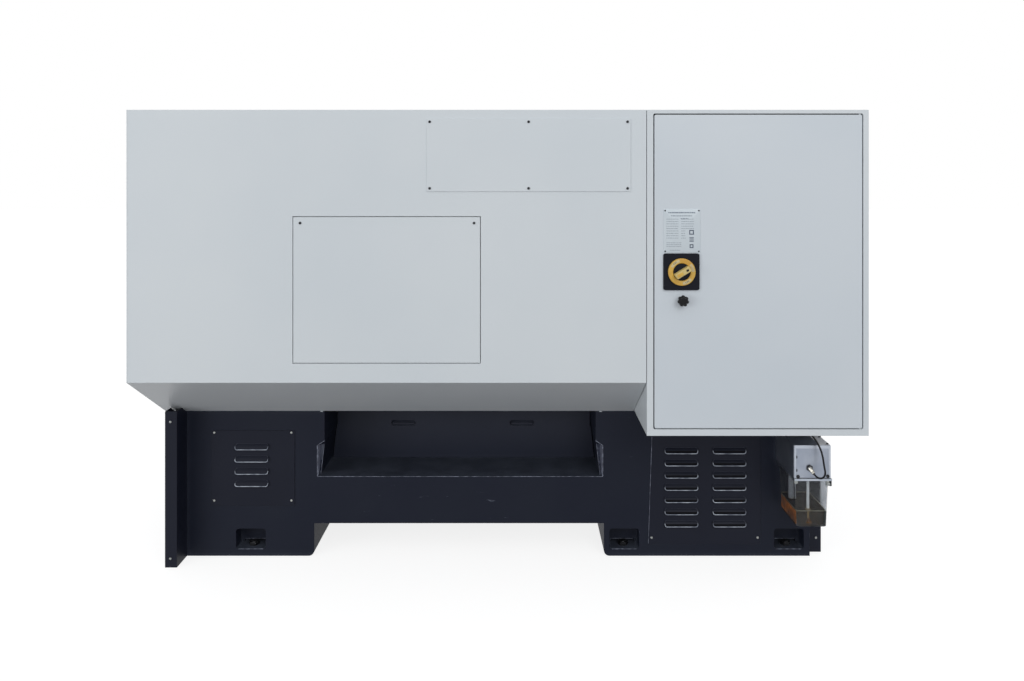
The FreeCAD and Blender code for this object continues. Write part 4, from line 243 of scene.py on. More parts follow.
def soft_block(
    low: Point, high: Point, corner: float, fillet: float, finish: int = 0, steps: int = 5
) -> Patch:
    """A block whose corners are rounded about Y and whose edges are rolled at both of its ends along Y.

    Each row is the rounded rectangle drawn in by fillet * (1 - sin a) and set fillet * (1 - cos a) from
    the end as a runs through a quarter turn, and the ends close on their middle point.

    Args:
        low: The lowest corner.
        high: The highest corner.
        corner: Radius of the four corners.
        fillet: Radius of the rolled edges.
        finish: Which of the piece's finishes it takes.
        steps: Points along each quarter circle.

    Returns:
        The closed surface.
    """
    (x0, y0, z0), (x1, y1, z1) = low, high
    turn = np.linspace(0, QUARTER, steps)
    inset = fillet * (1 - np.sin(turn))
    depth = fillet * (1 - np.cos(turn))
    insets = np.concatenate([inset, inset[::-1]])
    places = np.concatenate([y0 + depth, y1 - depth[::-1]])
    half_x, half_z, middle = (x1 - x0) / 2, (z1 - z0) / 2, ((x0 + x1) / 2, (z0 + z1) / 2)
    rows = []
    for drawn, y in zip(insets, places):
        flat = rounded_rectangle(half_x - drawn, half_z - drawn, max(corner - drawn, 0.01), steps)
        rows.append(np.insert(flat + middle, 1, y, axis=1))
    return capped(rows, finish)


def bead(
    path: np.ndarray,
    radius: np.ndarray | float,
    up: Point,
    closed: bool = False,
    finish: int = 0,
    sides: int = 8,
) -> Patch:
    """A round bead carried along a path.

    At path point p the section is p + radius * (cos a * side + sin a * lift), where side is square to the
    path's direction and to up, and lift is square to both.

    Args:
        path: The points, one row each.
        radius: The bead's radius, one value or one for each point.
        up: A direction that the path never runs along.
        closed: The last point joins the first; otherwise both ends close on their middle.
        finish: Which of the piece's finishes it takes.
        sides: Points round the bead.

    Returns:
        The closed surface.
    """
    ahead = np.roll(path, -1, 0) - np.roll(path, 1, 0) if closed else np.gradient(path, axis=0)
    ahead = ahead / np.linalg.norm(ahead, axis=1)[:, None]
    side = np.cross(ahead, np.array(up, float))
    side /= np.linalg.norm(side, axis=1)[:, None]
    lift = np.cross(side, ahead)
    angle = np.linspace(0, FULL_TURN, sides, endpoint=False)
    reach = np.broadcast_to(np.asarray(radius, float), (len(path),))[:, None, None]
    round_it = np.cos(angle)[None, :, None] * side[:, None] + np.sin(angle)[None, :, None] * lift[:, None]
    rows = path[:, None, :] + reach * round_it
    return grid_patch(rows, True, True, finish) if closed else capped(rows, finish)


def turned_about(patch: Patch, centre: Point, degrees: float) -> Patch:
    """Turns a surface about the line along Y through a point.

    x becomes z * sin a + x * cos a, and z becomes z * cos a - x * sin a, both measured from the point.

    Args:
        patch: The surface.
        centre: The point.
        degrees: The angle a.

    Returns:
        The turned surface.
    """
    angle = math.radians(degrees)
    sine, cosine = math.sin(angle), math.cos(angle)
    x, y, z = (patch.points - np.array(centre)).T
    points = np.stack([z * sine + x * cosine, y, z * cosine - x * sine], -1)
    return Patch(points + np.array(centre), patch.quads, patch.finish)


def welded(patch: Patch) -> tuple[np.ndarray, np.ndarray, np.ndarray]:
    """Merges a surface's coinciding points, so that poles and seams close.

    Args:
        patch: The surface.

    Returns:
        Its points, its quads and the triangles that quads at a pole become.
    """
    keys = np.round(patch.points / 1e-5).astype(np.int64)
    _, first, inverse = np.unique(keys, axis=0, return_index=True, return_inverse=True)
    quads = inverse.reshape(-1)[patch.quads]
    same = quads == np.roll(quads, -1, axis=1)
    count = same.sum(axis=1)
    poles = quads[count == 1]
    keep = ~same[count == 1]
    return patch.points[first], quads[count == 0], poles[keep].reshape(-1, 3)


def node_box(node: str) -> tuple[Point, Point]:
    """A node's lowest and highest corners at rest, in millimetres to two places."""
    return tuple(tuple(round(float(x) / MM, 2) for x in corner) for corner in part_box(node))


def middle_of(node: str, face: float) -> Point:
    """A node's middle along X and Z to a tenth of a millimetre, at a face along Y."""
    (x0, _, z0), (x1, _, z1) = node_box(node)
    return (round((x0 + x1) / 2, 1), face, round((z0 + z1) / 2, 1))


def rear_of(node: str) -> float:
    """A node's rear face along Y."""
    return node_box(node)[1][1]


def linked(thing: bpy.types.Object) -> bpy.types.Object:
    """Links an object into the scene and returns it."""
    bpy.context.scene.collection.objects.link(thing)
    return thing


def mesh_piece(
    name: str,
    patches: list[Patch],
    finishes: list["Finish | ClearFinish"],
    body: str,
    smooth: float = 38.0,
) -> bpy.types.Object:
    """Puts surfaces into one mesh object that rides on a body of the frame.

    Args:
        name: The piece's name.
        patches: Its surfaces, in millimetres.
        finishes: Its finishes, in the order that the surfaces number them.
        body: The body of the frame it rides on.
        smooth: Edges sharper than this many degrees stay crisp.

    Returns:
        The object, at the origin, with its place in its mesh.
    """
    points, loops, totals, kinds, offset = [], [], [], [], 0
    for patch in patches:
        corners, *face_groups = welded(patch)
        for faces in face_groups:
            loops.append((faces + offset).reshape(-1))
            totals.append(np.full(len(faces), faces.shape[1]))
            kinds.append(np.full(len(faces), patch.finish))
        points.append(corners * MM)
        offset += len(corners)
    points, loops, totals, kinds = (np.concatenate(part) for part in (points, loops, totals, kinds))
    mesh = bpy.data.meshes.new(name)
    mesh.vertices.add(len(points))
    mesh.vertices.foreach_set("co", points.astype(np.float32).reshape(-1))
    mesh.loops.add(len(loops))
    mesh.loops.foreach_set("vertex_index", loops.astype(np.int32))
    mesh.polygons.add(len(totals))
    mesh.polygons.foreach_set("loop_start", (np.cumsum(totals) - totals).astype(np.int32))
    mesh.polygons.foreach_set("material_index", kinds.astype(np.int32))
    mesh.polygons.foreach_set("use_smooth", np.ones(len(totals), bool))
    mesh.update(calc_edges=True)
    work = bmesh.new()
    work.from_mesh(mesh)
    bmesh.ops.recalc_face_normals(work, faces=work.faces)
    work.to_mesh(mesh)
    work.free()
    mesh.set_sharp_from_angle(angle=math.radians(smooth))
    for finish in finishes:
        mesh.materials.append(finish.material())
    piece = linked(bpy.data.objects.new(name, mesh))
    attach(piece, body)
    LOG.info("piece %s: %d faces on %s", name, len(mesh.polygons), body)
    return piece


# ---------------------------------------------------------------- shader building
class Nodes:
    """A short way to write a node tree."""

    def __init__(self, tree: bpy.types.NodeTree) -> None:
        """Keeps the tree that nodes go into."""
        self.tree = tree

    @classmethod
    def emptied(cls, owner: bpy.types.Material | bpy.types.World) -> "Nodes":
        """Turns on the node tree of a material or world and empties it.

        Args:
            owner: The material or world.

        Returns:
            The tree's writer.
        """
        owner.use_nodes = True
        owner.node_tree.nodes.clear()
        return cls(owner.node_tree)

    def feed(self, socket: bpy.types.NodeSocket, value: object) -> None:
        """Links a socket to another, or sets its plain value."""
        if isinstance(value, bpy.types.NodeSocket):
            self.tree.links.new(value, socket)
        elif value is not None:
            socket.default_value = value

    def add(self, kind: str, inputs: dict | None = None, **settings: object) -> bpy.types.Node:
        """Adds a node, sets its own settings and feeds its inputs.

        Args:
            kind: Blender's name for the node.
            inputs: What goes into each input, by its name or number.
            settings: The node's own settings.

        Returns:
            The node.
        """
        node = self.tree.nodes.new(kind)
        for key, value in settings.items():
            setattr(node, key, value)
        for key, value in (inputs or {}).items():
            self.feed(node.inputs[key], value)
        return node

    def maths(self, operation: str, *values: object) -> bpy.types.NodeSocket:
        """One Math node."""
        return self.add("ShaderNodeMath", dict(enumerate(values)), operation=operation).outputs[0]

    def product(self, first: object, *others: object) -> bpy.types.NodeSocket:
        """Multiplies values one after another."""
        for other in others:
            first = self.maths("MULTIPLY", first, other)
        return first

    def drawn_out(self, place: object, stretch: object) -> bpy.types.NodeSocket:
        """Multiplies a place by a stretch along X, Y and Z."""
        node = self.add("ShaderNodeVectorMath", {0: place, 1: stretch}, operation="MULTIPLY")
        return node.outputs[0]

    def spread(
        self, value: object, low: float, high: float, to_low: float = 0.0, to_high: float = 1.0
    ) -> bpy.types.NodeSocket:
        """Maps a range smoothly onto another one."""
        inputs = {"Value": value, "From Min": low, "From Max": high, "To Min": to_low, "To Max": to_high}
        return self.add("ShaderNodeMapRange", inputs, interpolation_type="SMOOTHSTEP").outputs["Result"]

    def blend(self, share: object, first: object, second: object) -> bpy.types.NodeSocket:
        """Blends two colours.

        Args:
            share: How much of the second colour shows.
            first: A colour or the socket that gives it.
            second: The other one.

        Returns:
            The blended colour.
        """
        node = self.add("ShaderNodeMix", data_type="RGBA")
        for socket, value in ((node.inputs[0], share), (node.inputs[6], first), (node.inputs[7], second)):
            self.feed(socket, (*value, 1.0) if isinstance(value, tuple) else value)
        return node.outputs[2]

    def noise(
        self, vector: object, scale: object, detail: float = 2.0, roughness: float = 0.5
    ) -> bpy.types.NodeSocket:
        """One Noise Texture."""
        inputs = {"Vector": vector, "Scale": scale, "Detail": detail, "Roughness": roughness}
        return self.add("ShaderNodeTexNoise", inputs).outputs[0]

    def openness(self, reach: object) -> bpy.types.NodeSocket:
        """How open the surroundings are within a reach, from 0 to 1."""
        return self.add("ShaderNodeAmbientOcclusion", {"Distance": reach}, samples=3).outputs["AO"]

    def effect(self, effect: "Effect", **values: object) -> bpy.types.NodeOutputs:
        """Places a shared effect with a finish's own values and returns its outputs."""
        return self.add("ShaderNodeGroup", values, node_tree=effect_group(effect)).outputs

    def plain(self, kind: str, colour: Colour, strength: float | None = None) -> bpy.types.NodeSocket:
        """A shader of one colour, with a strength where it has one."""
        inputs = {"Color": (*colour, 1.0)} | ({} if strength is None else {"Strength": strength})
        return self.add(kind, inputs).outputs[0]

    def mixed(self, share: object, first: object, second: object) -> bpy.types.NodeSocket:
        """Mixes two shaders."""
        return self.add("ShaderNodeMixShader", {0: share, 1: first, 2: second}).outputs[0]

    def surface(self, shader: object, kind: str = "ShaderNodeOutputMaterial") -> None:
        """Ends the tree in a shader."""
        self.add(kind, {"Surface": shader})


class Effect(Enum):
    """The effects that several finishes share."""

    EDGE_WEAR = "edge wear"
    GRAIN = "grain"
    DUST = "dust"
    SCUFFS = "scuffs"


EFFECT_SOCKETS: dict[Effect, tuple[str, str]] = {
    Effect.EDGE_WEAR: ("Radius Amount Patches", "Mask Normal"),
    Effect.GRAIN: ("Scale Stretch Patches", "Height Tone"),
    Effect.DUST: ("Amount Reach", "Mask"),
    Effect.SCUFFS: ("Scale Amount", "Mask"),
}
VECTOR_SOCKETS = ("Normal", "Stretch")


@lru_cache(maxsize=None)
def effect_group(effect: Effect) -> bpy.types.NodeTree:
    """Builds a shared effect once, as a node group with named inputs and outputs.

    Args:
        effect: Which effect.

    Returns:
        Its node group.
    """
    tree = bpy.data.node_groups.new(effect.value, "ShaderNodeTree")
    for in_out, names in zip(("INPUT", "OUTPUT"), EFFECT_SOCKETS[effect]):
        for name in names.split():
            kind = "NodeSocketVector" if name in VECTOR_SOCKETS else "NodeSocketFloat"
            tree.interface.new_socket(name=name, in_out=in_out, socket_type=kind)
    nodes = Nodes(tree)
    given = nodes.add("NodeGroupInput").outputs
    result = nodes.add("NodeGroupOutput").inputs
    place = nodes.add("ShaderNodeTexCoord").outputs["Object"]
    geometry = nodes.add("ShaderNodeNewGeometry").outputs
    if effect is Effect.EDGE_WEAR:
        # 1 - cos of the angle between the rolled and the true normal, kept where the surroundings are open
        bevel = nodes.add("ShaderNodeBevel", {"Radius": given["Radius"]}, samples=3).outputs[0]
        both = {0: bevel, 1: geometry["True Normal"]}
        dot = nodes.add("ShaderNodeVectorMath", both, operation="DOT_PRODUCT").outputs["Value"]
        sharp = nodes.spread(nodes.maths("SUBTRACT", 1.0, dot), 0.03, 0.22)
        outside = nodes.spread(nodes.openness(nodes.product(given["Radius"], 3.0)), 0.62, 0.86)
        ragged = nodes.noise(place, given["Patches"], 4.0, 0.65)
        limit = nodes.maths("SUBTRACT", 0.72, nodes.product(given["Amount"], 0.42))
        patches = nodes.spread(nodes.maths("SUBTRACT", ragged, limit), -0.03, 0.05)
        nodes.feed(result["Mask"], nodes.product(sharp, outside, patches))
        nodes.feed(result["Normal"], bevel)
    elif effect is Effect.GRAIN:
        # fine noise, drawn out along the stretch, and slow noise for the tone
        fine = nodes.noise(nodes.drawn_out(place, given["Stretch"]), given["Scale"], 3.0, 0.55)
        nodes.feed(result["Height"], fine)
        nodes.feed(result["Tone"], nodes.spread(nodes.noise(place, given["Patches"], 3.0), 0.3, 0.7))
    elif effect is Effect.DUST:
        # what faces up, and what lies in inner corners, broken by noise
        facing = nodes.add("ShaderNodeSeparateXYZ", {0: geometry["Normal"]}).outputs["Z"]
        upward = nodes.spread(facing, 0.35, 0.95)
        corner = nodes.spread(nodes.openness(given["Reach"]), 0.75, 0.35)
        cloud = nodes.spread(nodes.noise(place, 14.0, 4.0, 0.6), 0.3, 0.7)
        broken = nodes.maths("MULTIPLY_ADD", cloud, 0.35, 0.45)
        both = nodes.maths("ADD", nodes.product(upward, 0.6), nodes.product(corner, 0.5))
        amount = nodes.product(both, broken, given["Amount"])
        nodes.feed(result["Mask"], nodes.maths("MINIMUM", amount, 1.0))
    else:
        # rare short marks: drawn-out noise above a high limit, inside a few slow patches
        streaks = nodes.noise(nodes.drawn_out(place, (0.35, 1.0, 1.9)), given["Scale"], 5.0, 0.7)
        marks = nodes.spread(streaks, 0.66, 0.74)
        where = nodes.spread(nodes.noise(place, 2.3, 2.0), 0.46, 0.66)
        nodes.feed(result["Mask"], nodes.product(marks, where, given["Amount"]))
    return tree


@dataclass(frozen=True)
class Finish:
    """An opaque finish: paint, bare metal, rubber or moulded plastic. Colours are written 0xRRGGBB.

    Args:
        name: The material's name.
        colour: Its colour.
        second: The colour that it drifts to in slow patches.
        rough: Its middle roughness, and how far it moves either way.
        patches: Scale of the slow patches.
        grain: The fine grain's scale, per metre, and its height in micrometres.
        edge: How far its edges look rolled, in millimetres.
        metallic: 1 for bare metal.
        specular: The shader's specular level.
        coat: Weight of a clear coat.
        stretch: How the grain is drawn out along X, Y and Z.
        wear: How much of its outer edges is worn, from 0 to 1, and the colour that shows there.
        dust: How much dust lies on it, and the dust's colour.
        scuffs: How many small marks it carries, in the worn colour.
    """

    name: str
    colour: int
    second: int
    rough: tuple[float, float]
    patches: float
    grain: tuple[float, float]
    edge: float = 1.2
    metallic: float = 0.0
    specular: float = 0.5
    coat: float = 0.0
    stretch: Point = (1.0, 1.0, 1.0)
    wear: tuple[float, int] = (0.0, 0)
    dust: tuple[float, int] = (0.0, 0)
    scuffs: float = 0.0

    @lru_cache(maxsize=None)
    def material(self) -> bpy.types.Material:
        """Builds the material once and returns it."""
        made = bpy.data.materials.new(self.name)
        nodes = Nodes.emptied(made)
        (middle, drift), (scale, height) = self.rough, self.grain
        worn, worn_colour = self.wear[0], srgb(self.wear[1])
        edge = nodes.effect(Effect.EDGE_WEAR, Radius=self.edge * MM, Amount=worn, Patches=45.0)
        grain = nodes.effect(Effect.GRAIN, Scale=scale, Stretch=self.stretch, Patches=self.patches)
        colour = nodes.blend(grain["Tone"], srgb(self.colour), srgb(self.second))
        rough = nodes.spread(grain["Height"], 0.25, 0.75, middle - drift, middle + drift)
        metallic: object = self.metallic
        if self.scuffs:
            marks = nodes.effect(Effect.SCUFFS, Scale=26.0, Amount=self.scuffs)["Mask"]
            colour = nodes.blend(marks, colour, worn_colour)
        if worn:
            colour = nodes.blend(edge["Mask"], colour, worn_colour)
            if not self.metallic:
                metallic = nodes.product(edge["Mask"], 0.5)
        if self.dust[0]:
            dust = nodes.effect(Effect.DUST, Amount=self.dust[0], Reach=0.03)["Mask"]
            colour = nodes.blend(dust, colour, srgb(self.dust[1]))
            rough = nodes.maths("MULTIPLY_ADD", dust, 0.3, rough)
        relief = {"Strength": 1.0, "Distance": height * MICRON, "Height": grain["Height"]}
        relief["Normal"] = edge["Normal"]
        inputs = {
            "Base Color": colour,
            "Roughness": rough,
            "Metallic": metallic,
            "Specular IOR Level": self.specular,
            "Coat Weight": self.coat,
            "Coat Roughness": 0.12,
            "Normal": nodes.add("ShaderNodeBump", relief).outputs[0],
        }
        nodes.surface(nodes.add("ShaderNodeBsdfPrincipled", inputs).outputs[0])
        return made


@dataclass(frozen=True)
class ClearFinish:
    """A finish that light passes through: glass, clear plastic or oil.

    Args:
        name: The material's name.
        colour: Its tint, written 0xRRGGBB.
        rough: Its lowest roughness, which smears raise a little.
        smear: How much smears add.
        bend: Index of refraction.
        waves: Height of its slow waves, in micrometres.
        clear: How much light passes straight through; the rest is milky.
        shade: How much of the lamps' light it keeps from what lies behind it.
    """

    name: str
    colour: int
    rough: float
    smear: float
    bend: float
    waves: float
    clear: float = 1.0
    shade: float = 0.3

    @lru_cache(maxsize=None)
    def material(self) -> bpy.types.Material:
        """Builds the material once and returns it."""
        made = bpy.data.materials.new(self.name)
        nodes = Nodes.emptied(made)
        grain = nodes.effect(Effect.GRAIN, Scale=18.0, Stretch=(1.0, 1.0, 0.35), Patches=9.0)
        tint = srgb(self.colour)
        shadow = nodes.add("ShaderNodeLightPath").outputs["Is Shadow Ray"]
        relief = {"Strength": 0.6, "Distance": self.waves * MICRON, "Height": grain["Height"]}
        inputs = {
            "Base Color": nodes.blend(grain["Tone"], tint, tuple(x * 0.9 for x in tint)),
            "Roughness": nodes.spread(grain["Height"], 0.35, 0.75, self.rough, self.rough + self.smear),
            "IOR": self.bend,
            "Alpha": nodes.maths("SUBTRACT", 1.0, nodes.product(shadow, 1.0 - self.shade)),
            "Transmission Weight": self.clear,
            "Normal": nodes.add("ShaderNodeBump", relief).outputs[0],
        }
        nodes.surface(nodes.add("ShaderNodeBsdfPrincipled", inputs).outputs[0])
        return made


class Palette:
    """Every finish of the machine."""

    WHITE = Finish(
        "white powder coat", 0xCBD1D5, 0xC6CDD2, rough=(0.42, 0.05), patches=1.3, grain=(1100, 50),
        edge=1.6, specular=0.4, wear=(0.12, 0xE2E5E7), dust=(0.25, 0xB0B0AC),
    )
    DOOR_WHITE = Finish(
        "white door coat", 0xC7CED4, 0xC2CAD1, rough=(0.4, 0.05), patches=1.5, grain=(1100, 50), edge=2.0,
        specular=0.4, wear=(0.12, 0xDEE2E5),
    )
    DARK = Finish(
        "dark textured paint", 0x151926, 0x181C28, rough=(0.52, 0.1), patches=4, grain=(520, 160),
        edge=2.2, specular=0.14, wear=(0.3, 0x6E7482), dust=(1.0, 0x505662), scuffs=0.55,
    )
    DARK_SHEET = Finish(
        "dark sheet paint", 0x151824, 0x181B27, rough=(0.46, 0.08), patches=3, grain=(800, 80), edge=1.4,
        specular=0.14, wear=(0.16, 0x606674), dust=(0.3, 0x464850), scuffs=0.35,
    )
    TANK = Finish(
        "dark tank paint", 0x1F2330, 0x222633, rough=(0.5, 0.08), patches=3, grain=(700, 100), edge=1.5,
        specular=0.2, wear=(0.5, 0x606570), dust=(0.3, 0x4C4F58), scuffs=0.4,
    )
    # painted highlight with wear on the louvres' lower lips
    LIP = Finish(
        "worn lip with painted highlight", 0xB0B8C5, 0x686F7E, rough=(0.34, 0.08), patches=38, grain=(700, 30), edge=0.4,
        metallic=0.25, wear=(0.0, 0xD6DAE0), scuffs=0.3,
    )
    # faint painted highlight with light wear on the louvres' upper lines
    FAINT_LIP = Finish(
        "lightly worn lip with faint painted highlight", 0x3E4452, 0x242834, rough=(0.42, 0.08), patches=38, grain=(700, 30), edge=0.4,
    )
    # painted shade: a near-black skin in the louvres' throats
    SHADE = Finish(
        "unlit louvre throat", 0x090A0F, 0x0C0D13, rough=(0.7, 0.08), patches=20, grain=(700, 30),
        edge=0.4, specular=0.08,
    )
    CAST = Finish(
        "machined cast iron", 0x787A7C, 0x626467, rough=(0.36, 0.1), patches=5, grain=(260, 40),
        metallic=0.9, stretch=(0.2, 3.0, 3.0), wear=(0.4, 0xB4B6B8),
    )
    CASTING = Finish(
        "painted casting", 0x969CA0, 0x8C9297, rough=(0.5, 0.08), patches=4, grain=(420, 160), edge=3.0,
        wear=(0.25, 0xB0B4B8),
    )
    STEEL = Finish(
        "ground steel", 0xB0B3B6, 0x96999D, rough=(0.26, 0.09), patches=7, grain=(500, 20), edge=0.8,
        metallic=1.0, stretch=(0.12, 2.0, 2.0),
    )
    HARD = Finish(
        "blackened steel", 0x343538, 0x28292C, rough=(0.38, 0.08), patches=8, grain=(600, 30),
        metallic=0.8, wear=(0.6, 0x96989B),
    )
    ZINC = Finish(
        "zinc-plated steel", 0xA8AAA8, 0x929696, rough=(0.34, 0.1), patches=30, grain=(420, 30), edge=0.8,
        metallic=1.0, dust=(0.3, 0xADAAA4),
    )
    ALUMINIUM = Finish(
        "milled aluminium", 0x9EA4AF, 0x8E95A2, rough=(0.42, 0.08), patches=11, grain=(520, 15),
        metallic=1.0, stretch=(1.0, 1.0, 0.12), wear=(0.4, 0xD6DADF),
    )
    BRIGHT_EDGE = Finish(
        "bright milled edge", 0xAEB4BE, 0xA0A7B2, rough=(0.32, 0.06), patches=16, grain=(520, 15),
        edge=0.8, metallic=1.0, stretch=(0.15, 1.0, 1.0), wear=(0.5, 0xE4E7EB),
    )
    NICKEL = Finish(
        "nickel plating", 0xCECCC4, 0xB8B6AF, rough=(0.22, 0.06), patches=60, grain=(900, 20), edge=0.4,
        metallic=1.0,
    )
    BLACK = Finish(
        "black moulded plastic", 0x0F111A, 0x13151D, rough=(0.46, 0.05), patches=12, grain=(1600, 30),
        specular=0.12, wear=(0.1, 0x32343C),
    )
    GLOSS_BLACK = Finish(
        "glossy black plastic", 0x08090D, 0x0B0C10, rough=(0.22, 0.05), patches=25, grain=(900, 20),
        edge=1.0, specular=0.16, coat=0.1,
    )
    YELLOW = Finish(
        "yellow plastic", 0xCEA848, 0xBE9034, rough=(0.38, 0.06), patches=34, grain=(1400, 30), edge=1.6,
        wear=(0.8, 0xD4C496),
    )
    GOLD = Finish(
        "pale gold plastic", 0xCBB77A, 0xBEA868, rough=(0.4, 0.06), patches=40, grain=(1200, 30),
        edge=1.0, wear=(0.5, 0xE4D8B2),
    )
    RED = Finish(
        "red plastic", 0xB01816, 0xA01414, rough=(0.32, 0.05), patches=20, grain=(1200, 20), coat=0.3,
    )
    WHITE_TUBE = Finish("white plastic", 0xF0F2F1, 0xE6EAE9, rough=(0.4, 0.05), patches=30, grain=(900, 20))
    GREY = Finish(
        "grey plastic", 0x7A7F84, 0x70757B, rough=(0.46, 0.05), patches=10, grain=(1500, 40), edge=1.5,
    )
    RUBBER = Finish(
        "black rubber", 0x161719, 0x1C1D1F, rough=(0.55, 0.06), patches=30, grain=(1300, 30),
        specular=0.35,
    )
    PLATE = Finish(
        "blank nameplate", 0xBEC7CD, 0xB8C2C9, rough=(0.34, 0.06), patches=9, grain=(500, 10), edge=0.4,
        metallic=0.15, stretch=(0.1, 1.0, 3.0),
    )
    PRINT = Finish(
        "grey print", 0x687280, 0x7A8490, rough=(0.5, 0.05), patches=40, grain=(900, 5), edge=0.2,
    )
    PALE_PRINT = Finish(
        "pale print", 0xC8B88C, 0xBEAC7E, rough=(0.5, 0.05), patches=40, grain=(900, 5), edge=0.2,
    )
    MARK_PRINT = Finish(
        "dark grey print", 0x3E485A, 0x4A5466, rough=(0.5, 0.05), patches=40, grain=(900, 5), edge=0.2,
    )
    DARK_PRINT = Finish(
        "dark print", 0x2C281E, 0x342F24, rough=(0.5, 0.05), patches=40, grain=(900, 5), edge=0.2,
    )
    STRAINER = Finish(
        "gold gauze", 0xCEA032, 0xBA8A28, rough=(0.36, 0.08), patches=60, grain=(1800, 200), metallic=0.6,
    )
    GREEN = Finish("green key", 0x267A3E, 0x22703A, rough=(0.42, 0.05), patches=20, grain=(1500, 30))
    CLEAR = ClearFinish(
        "clear tank plastic", 0xCED1D5, rough=0.05, smear=0.1, bend=1.22, waves=400, clear=0.98,
    )
    WINDOW = ClearFinish("window glass", 0xDEECE6, rough=0.01, smear=0.03, bend=1.5, waves=50)
    SCREEN = ClearFinish("screen glass", 0x788286, rough=0.05, smear=0.04, bend=1.45, waves=30)
    OIL = ClearFinish(
        "lubricating oil", 0x92702E, rough=0.01, smear=0.02, bend=1.12, waves=50, clear=0.95, shade=0.6,
    )
    # painted highlight along the oil line
    OIL_RIM = Finish(
        "painted highlight on the oil line", 0xBAB8A0, 0x8C8664, rough=(0.2, 0.04), patches=30, grain=(400, 10), edge=0.3,
    )
    # painted light: the glow of light caught in the oil
    OIL_GLOW = Finish(
        "light caught in the oil", 0xF0881E, 0x704014, rough=(0.3, 0.05), patches=26, grain=(400, 10),
        edge=0.3,
    )
    # painted shade at the oil's front corner
    OIL_CORNER_SHADE = Finish(
        "painted shade at the oil corner", 0x1A2626, 0x121A1B, rough=(0.3, 0.05), patches=26, grain=(400, 10),
        edge=0.3, specular=0.1,
    )
    # painted highlight: the bright end of the lubricator housing's top
    PAINTED_BRIGHT_TOP = Finish(
        "painted bright housing top", 0xF6F7F9, 0xF0F1F4, rough=(0.42, 0.05), patches=10, grain=(600, 30), edge=1.0,
    )
    WORN = Finish(
        "worn paint edge", 0x868C9E, 0x2E3241, rough=(0.45, 0.08), patches=60, grain=(500, 50), edge=0.4,
    )
    # painted highlight on the bay's bevels, with real scuffs and wear over it
    SCUFFED_PAINTED_BEVEL = Finish(
        "scuffed bevel with painted highlight", 0x2C3144, 0x222738, rough=(0.5, 0.08), patches=70, grain=(500, 80),
        wear=(0.6, 0x787E8E), scuffs=0.9,
    )
    CORD = Finish(
        "black cord sheath", 0x0C0D10, 0x0F1013, rough=(0.5, 0.06), patches=30, grain=(1300, 30),
        specular=0.15,
    )
    TRANSLUCENT = ClearFinish(
        "translucent hose", 0xCED2D6, rough=0.3, smear=0.1, bend=1.3, waves=100, clear=0.35,
    )


NODES_IN: dict[Finish | ClearFinish, str] = {
    Palette.DARK: "base_casting",
    Palette.DARK_SHEET: "motor_cover vent_cover tailstock_end_cover headstock_end_cover "
    "front_lower_cover chip_tray",
    Palette.TANK: "coolant_tank",
    Palette.WHITE: "rear_cover lower_access_panel upper_access_panel tailstock_side_panel "
    "headstock_side_panel roof_panel front_frame cabinet_body front_door pendant_column pendant_box",
    Palette.DOOR_WHITE: "cabinet_door",
    Palette.CASTING: "splash_guard headstock_casting tailstock",
    Palette.CAST: "bed carriage cross_slide",
    Palette.STEEL: "spindle spindle_bearings chuck_body quill live_centre z_screw front_door_handle",
    Palette.HARD: "levelling_bolts jaw_1 jaw_2 jaw_3 toolpost spindle_pulley motor_rotor "
    "tailstock_handwheel",
    Palette.BLACK: "main_motor x_servo z_drive coolant_pump mpg_dial switch_plate",
    Palette.RUBBER: "drive_belt",
    Palette.CORD: "lube_cable",
    Palette.YELLOW: "switch_ring switch_handle",
    Palette.GLOSS_BLACK: "door_knob",
    Palette.GREY: "control_gear",
    Palette.WINDOW: "door_window",
    Palette.RED: "estop",
    Palette.ALUMINIUM: "lube_housing",
    Palette.CLEAR: "lube_tank",
    Palette.WHITE_TUBE: "lube_tubes",
    Palette.ZINC: "lube_connector cover_screws",
}


def paint_frame() -> None:
    """Gives every node of the frame its finish."""
    finish_of = {name: finish for finish, names in NODES_IN.items() for name in names.split()}
    for name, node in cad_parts.items():
        node.data.materials.clear()
        node.data.materials.append(finish_of[name].material())
    LOG.info("painted %d nodes of the frame", len(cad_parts))


